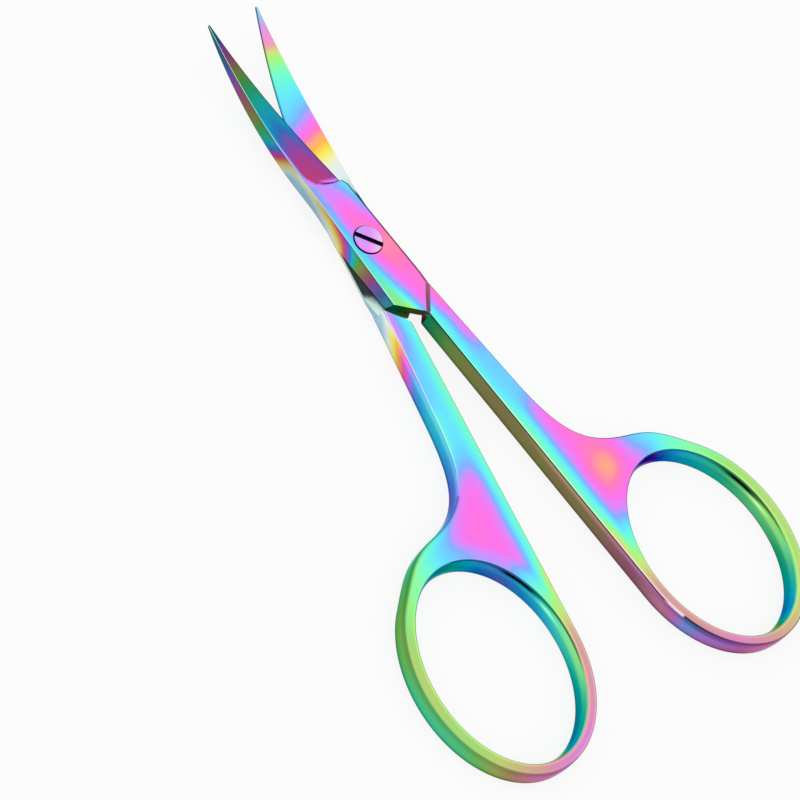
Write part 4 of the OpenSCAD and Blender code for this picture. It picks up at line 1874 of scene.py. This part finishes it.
def finishes() -> list[bpy.types.Material]:
    """Makes the finishes of a half.

    Returns:
        The material of each surface, in the order of the slots.
    """
    return [
        # The buffing wheel leaves the wide faces a mirror
        CoatedSteel("mirror-polished coated steel", 0.10).material(),
        CoatedSteel("polished coated steel of the joint", 0.11).material(),
        # Tumbling softens the walls, so their reflections blur
        CoatedSteel("tumbled coated steel of the walls", 0.17).material(),
        CoatedSteel("tumbled coated steel of the finger holes", 0.15, sheen=0.15).material(),
        # The grinding wheel leaves fine lines across the blade
        CoatedSteel("ground coated steel of the flanks", 0.16, line_depth=0.15).material(),
        CoatedSteel("ground coated steel of the bevel", 0.18, line_depth=0.2).material(),
        CoatedSteel("lapped coated steel of the inside", 0.16, line_depth=0.15, sheen=0.05).material(),
        # A file leaves the joint's ends matt, and a reamer the bores
        CoatedSteel("filed coated steel of the joint's ends", 0.28, line_depth=0.3).material(),
        CoatedSteel("reamed coated steel of the bores", 0.3).material(),
        # Wear polishes the edges, and their bright and dark lines are painted highlights and painted shade
        CoatedSteel("worn coated steel of the edges", 0.14, sheen=0.0).material(),
    ]


# The whole of one half

@dataclass(frozen=True)
class Side:
    """What sets one half apart from the other."""

    name: str
    node: str
    body: str
    slot: str
    bend: int
    turn: float
    flipped: bool


FRONT = Side("front_half_coated", "front_half", "front", "front_steel", 1, OPENING / 2, False)
BACK = Side("back_half_coated", "back_half", "back", "back_steel", -1, -OPENING / 2, True)


@dataclass
class Half:
    """One forged half: handle, joint block and blade in one piece."""

    side: Side
    film: Film
    seat_radius: float = 1.78
    bore_radius: float = 1.24
    thread_radius: float = 1.01
    head_seat: float = 0.45
    mouth_break: float = 0.03
    # How far a cut runs past the underside, and one bore into the next
    below: float = 1.0
    overlap: float = 0.1
    sharp_angle: float = 32.0

    @property
    def blade(self) -> Blade:
        """Block and blade of the half."""
        return self.film.plan.blade

    def build(self) -> bpy.types.Object:
        """Builds the half.

        Returns:
            The piece, closed and bare.
        """
        blade, handle = self.blade, self.blade.handle
        obj = handle.skin().build(self.side.name)
        lean = math.radians(90 - blade.vee_angle)
        shoulder_x = -blade.vee_reach - blade.shoulder_gap / math.sin(math.radians(blade.vee_angle))
        tongue = blade.middle + blade.block_height / 2
        shoulder = Matrix.Translation((shoulder_x, 0, 0)) @ Matrix.Rotation(lean, 4, "Z")
        combine(obj, box("cut", (0, -FAR, -FAR), (FAR, FAR, tongue), shoulder, Surface.END), Combining.CUT)
        slope = math.atan2(blade.block_drop, blade.step_run)
        step = Matrix.Translation((-blade.vee_reach, 0, blade.block_top))
        step = step @ Matrix.Rotation(math.radians(90 - blade.step_angle), 4, "Z")
        step = step @ Matrix.Rotation(slope, 4, "Y")
        combine(obj, box("cut", (-FAR, -FAR, 0), (FAR, FAR, FAR), step, Surface.END), Combining.CUT)
        combine(obj, blade.skin(self.side.bend).build("blank"), Combining.JOIN)
        for cutter in self.bores():
            combine(obj, cutter, Combining.CUT)
        smooth(obj, self.sharp_angle)
        return obj

    def bores(self) -> list[bpy.types.Object]:
        """Makes the solids that cut this half's holes for the screw.

        Returns:
            The cutters, each with a broken edge at the hole's mouth.
        """
        top, chip = self.blade.block_top, self.mouth_break

        def mouth(r: float, start: float) -> bpy.types.Object:
            """Makes a cutter that opens at the block's face."""
            return revolve("cut", [(r, start), (r, top - chip), (r + 2 * chip, top + chip)], Surface.BORE)

        if self.side.flipped:
            return [mouth(self.thread_radius, -self.below)]
        seat = top - self.head_seat
        bore = [(self.bore_radius, -self.below), (self.bore_radius, seat + self.overlap)]
        return [revolve("cut", bore, Surface.BORE), mouth(self.seat_radius, seat)]

    def dress(self, obj: bpy.types.Object, materials: Sequence[bpy.types.Material]) -> None:
        """Coats the half and gives each surface its finish.

        Args:
            obj: The half, closed.
            materials: The material of each surface.
        """
        self.film.coat(obj)
        for i, material in enumerate(materials):
            obj.data.materials[i] = material

    def place(self, obj: bpy.types.Object) -> None:
        """Turns the closed half to its place in the frame and lets it ride on its body.

        Args:
            obj: The half, closed.
        """
        move = Matrix.Rotation(math.radians(self.side.turn), 4, "Z")
        if self.side.flipped:
            move = move @ Matrix.Translation((0, 0, self.blade.handle.thickness * MM))
            move = move @ Matrix.Rotation(math.pi, 4, "X")
        obj.data.transform(move)
        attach(obj, self.side.body)
        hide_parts(self.side.node)


# The pivot screw

@dataclass
class PivotScrew:
    """Slotted screw on which the front half turns, fixed by its thread in the back half."""

    head_radius: float = 1.7
    bearing_radius: float = 1.2
    thread_radius: float = 1.0
    thread_depth: float = 0.12
    thread_pitch: float = 0.35
    thread_fade: float = 0.25
    thread_rows: int = 60
    shoulder: float = 1.32
    head_low: float = 2.08
    head_high: float = 2.7
    head_rings: tuple[float, float, float, float] = (0.94, 0.7, 0.45, 0.2)
    chamfer: float = 0.08
    bulge: float = 0.3
    slot_width: float = 0.6
    slot_depth: float = 0.45
    slot_turn: float = 49.0
    turn: float = -OPENING / 2
    steps: int = 128
    sharp_angle: float = 30.0
    # Coating: lilac on the head with painted light to one side, and painted shade in the slot and on the
    # sides below
    order: Point = (0.25, 0.03, 0.01)
    painted_light_side: Plane = (0.6, 0.8)
    pale: Fade = Fade(0.12, 0.2, -1.6)
    head_tone: float = 0.7
    slot_shade_tone: float = 0.08
    # Painted shade on the head's sides
    side_tone: float = 0.2

    def thread(self, z: float, angle: float) -> float:
        """Gives the thread's radius.

        Args:
            z: Height on the screw.
            angle: Angle in radians.

        Returns:
            The radius, plain at both ends of the thread.
        """
        phase = (z / self.thread_pitch - angle / (2 * math.pi)) % 1.0
        fade = min(1.0, z / self.thread_fade, (self.shoulder - z) / self.thread_fade)
        return self.thread_radius - self.thread_depth * max(0.0, fade) * abs(2 * phase - 1)

    def profile(self) -> list[tuple[Reach, float]]:
        """Draws half the screw's section.

        Returns:
            Radius, or what gives it at an angle, and height, from the bottom up.
        """
        c = self.chamfer
        bearing, head = self.bearing_radius, self.head_radius
        low, high = self.head_low, self.head_high
        threaded = [mix(c, self.shoulder, i / self.thread_rows) for i in range(self.thread_rows + 1)]
        rows: list[tuple[Reach, float]] = [(self.thread_radius - c, 0.0)]
        rows += [(partial(self.thread, z), z) for z in threaded]
        rows += [(bearing - c / 2, self.shoulder), (bearing, self.shoulder + c / 2), (bearing, low)]
        rows += [(head - c / 2, low), (head, low + c / 2), (head, high - c)]
        rows += [(head - self.bulge * c, high - self.bulge * c), (head - c, high)]
        return rows + [(head * share, high) for share in self.head_rings]

    def build(self) -> bpy.types.Object:
        """Builds the screw.

        Returns:
            The piece, bare.
        """
        rows = self.profile()
        level = self.head_high - self.chamfer / 2
        skin = Skin()
        skin.turn(rows, [Surface.FACE if z > level else Surface.WALL for _, z in rows], self.steps)
        obj = skin.build("pivot_screw_turned")
        half = self.slot_width / 2
        place = Matrix.Rotation(math.radians(self.slot_turn), 4, "Z")
        floor = self.head_high - self.slot_depth
        combine(obj, box("cut", (-FAR, -half, floor), (FAR, half, FAR), place, Surface.END), Combining.CUT)
        smooth(obj, self.sharp_angle)
        return obj

    def dress(self, obj: bpy.types.Object) -> None:
        """Gives the head its lilac coating with painted light to one side, the slot its dark oxide deepened
        by painted shade, and the sides painted shade.

        Args:
            obj: The screw.
        """
        # Turning leaves the head softly bright, with painted light to one side; the slot stays dull with
        # oxide, and it and the sides are painted dark as shade
        head = CoatedSteel("turned coated steel of the screw", 0.16, wander_mm=0.7, wander=0.07).material()
        slot = CoatedSteel("oxidised steel of the screw's slot with painted shade", 0.5).material()
        for i, kind in enumerate(Surface):
            obj.data.materials[i] = slot if kind is Surface.END else head
        kinds, (x, y, _), _ = corners(obj.data)
        pale = self.head_tone + self.pale.at(self.painted_light_side[0] * x + self.painted_light_side[1] * y)
        cases = [kinds == Surface.FACE.value, kinds == Surface.END.value]
        tones = np.select(cases, [pale, self.slot_shade_tone], default=self.side_tone)
        paint(obj.data, self.order[0] + self.order[1] * x + self.order[2] * y, tones)

    def place(self, obj: bpy.types.Object) -> None:
        """Turns the screw with the back half, which holds it, and lets it ride there.

        Args:
            obj: The screw.
        """
        obj.data.transform(Matrix.Rotation(math.radians(self.turn), 4, "Z"))
        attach(obj, "back")
        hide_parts("pivot_screw")


# The studio

@dataclass
class Studio:
    """Pale floor, soft overhead light with a darker horizon, and the camera."""

    floor_side: float = 3.0
    floor_drop: float = 0.0001
    paper: str = "EDEDED"
    paper_glow: float = 0.85
    # Level of the light by height, from the horizon up
    levels: Stops = ((0.0, 0.55), (0.12, 0.6), (0.35, 0.9), (0.5, 1.0), (1.0, 1.0))
    lamp_at: Point = (-0.1, 0.5, 0.6)
    lamp_size: Plane = (0.7, 0.3)
    lamp_watts: float = 0.3
    # The camera's lens on a sensor 36 mm wide, its place, and its axes in the frame
    lens: float = 153.1875
    sensor: float = 36.0
    nearest: float = 0.01
    eye: Point = (-0.08519196, 0.21270648, 0.30014472)
    right: Point = (-0.544078, -0.744045, 0.387784)
    down: Point = (-0.818725, 0.369726, -0.439309)
    away: Point = (0.183492, -0.556507, -0.810328)

    def floor(self) -> None:
        """Lays the floor, white to the camera and in reflections, with the object's faint shadow kept."""
        half = self.floor_side / 2
        mesh = bpy.data.meshes.new("studio_floor")
        square = [(-half, -half), (half, -half), (half, half), (-half, half)]
        mesh.from_pydata([(x, y, -self.floor_drop) for x, y in square], [], [(0, 1, 2, 3)])
        floor = bpy.data.objects.new("studio_floor", mesh)
        bpy.context.scene.collection.objects.link(floor)
        material = bpy.data.materials.new("white studio paper")
        material.use_nodes = True
        tree = material.node_tree
        tree.nodes.clear()
        ray = add_node(tree, "ShaderNodeLightPath", {})
        seen = ray.outputs["Is Camera Ray"]
        for kind in ("Is Glossy Ray", "Is Transmission Ray"):
            seen = add_node(tree, "ShaderNodeMath", {
                0: seen, 1: ray.outputs[kind]}, operation="MAXIMUM").outputs["Value"]
        share = add_node(tree, "ShaderNodeMath", {
            0: seen, 1: self.paper_glow}, operation="MULTIPLY").outputs["Value"]
        paper = add_node(tree, "ShaderNodeBsdfDiffuse", {"Color": linear(self.paper)}).outputs["BSDF"]
        white = add_node(tree, "ShaderNodeEmission", {
            "Color": linear(WHITE), "Strength": 1.0}).outputs["Emission"]
        both = add_node(tree, "ShaderNodeMixShader", {0: share, 1: paper, 2: white}).outputs["Shader"]
        add_node(tree, "ShaderNodeOutputMaterial", {"Surface": both})
        mesh.materials.append(material)

    def sky(self) -> None:
        """Hangs the soft overhead light: bright above, darker towards the horizon."""
        world = bpy.data.worlds.new("studio sky")
        bpy.context.scene.world = world
        world.use_nodes = True
        tree = world.node_tree
        tree.nodes.clear()
        way = add_node(tree, "ShaderNodeTexCoord", {}).outputs["Generated"]
        height = add_node(tree, "ShaderNodeSeparateXYZ", {"Vector": way}).outputs["Z"]
        stops = [(z, (level, level, level, 1.0)) for z, level in self.levels]
        glow = add_node(tree, "ShaderNodeValToRGB", {"Fac": height}, stops).outputs["Color"]
        sky = add_node(tree, "ShaderNodeBackground", {"Color": glow, "Strength": 1.0}).outputs["Background"]
        add_node(tree, "ShaderNodeOutputWorld", {"Surface": sky})

    def lamp(self) -> None:
        """Hangs a soft lamp that shines at the joint."""
        light = bpy.data.lights.new("soft panel", "AREA")
        light.shape = "RECTANGLE"
        light.size, light.size_y = self.lamp_size
        light.energy = self.lamp_watts
        lamp = bpy.data.objects.new("soft panel", light)
        lamp.location = self.lamp_at
        lamp.rotation_euler = Vector(self.lamp_at).to_track_quat("Z", "Y").to_euler()
        bpy.context.scene.collection.objects.link(lamp)

    def camera(self) -> None:
        """Sets the camera at the photograph's viewpoint."""
        data = bpy.data.cameras.new("camera")
        data.lens = self.lens
        data.sensor_width = self.sensor
        data.clip_start = self.nearest
        camera = bpy.data.objects.new("camera", data)
        turn = Matrix((self.right, [-c for c in self.down], [-c for c in self.away])).transposed()
        camera.matrix_world = Matrix.Translation(self.eye) @ turn.to_4x4()
        bpy.context.scene.collection.objects.link(camera)
        bpy.context.scene.camera = camera

    def build(self) -> None:
        """Builds the whole studio."""
        self.floor()
        self.sky()
        self.lamp()
        self.camera()
        bpy.context.scene.view_settings.view_transform = "Standard"


def main() -> None:
    """Builds the scissors and the studio."""
    logging.basicConfig(level=logging.INFO)
    LOG.info("frame with %s", ", ".join(frame["nodes"]))
    materials = finishes()
    for half in (Half(FRONT, front_film()), Half(BACK, back_film())):
        obj = half.build()
        half.dress(obj, materials)
        half.place(obj)
        LOG.info("%s: %d faces", obj.name, len(obj.data.polygons))
    screw = PivotScrew()
    obj = screw.build()
    screw.dress(obj)
    screw.place(obj)
    LOG.info("%s: %d faces", obj.name, len(obj.data.polygons))
    Studio().build()
    LOG.info("studio with floor, sky, lamp and camera")


if __name__ == "__main__":
    main()
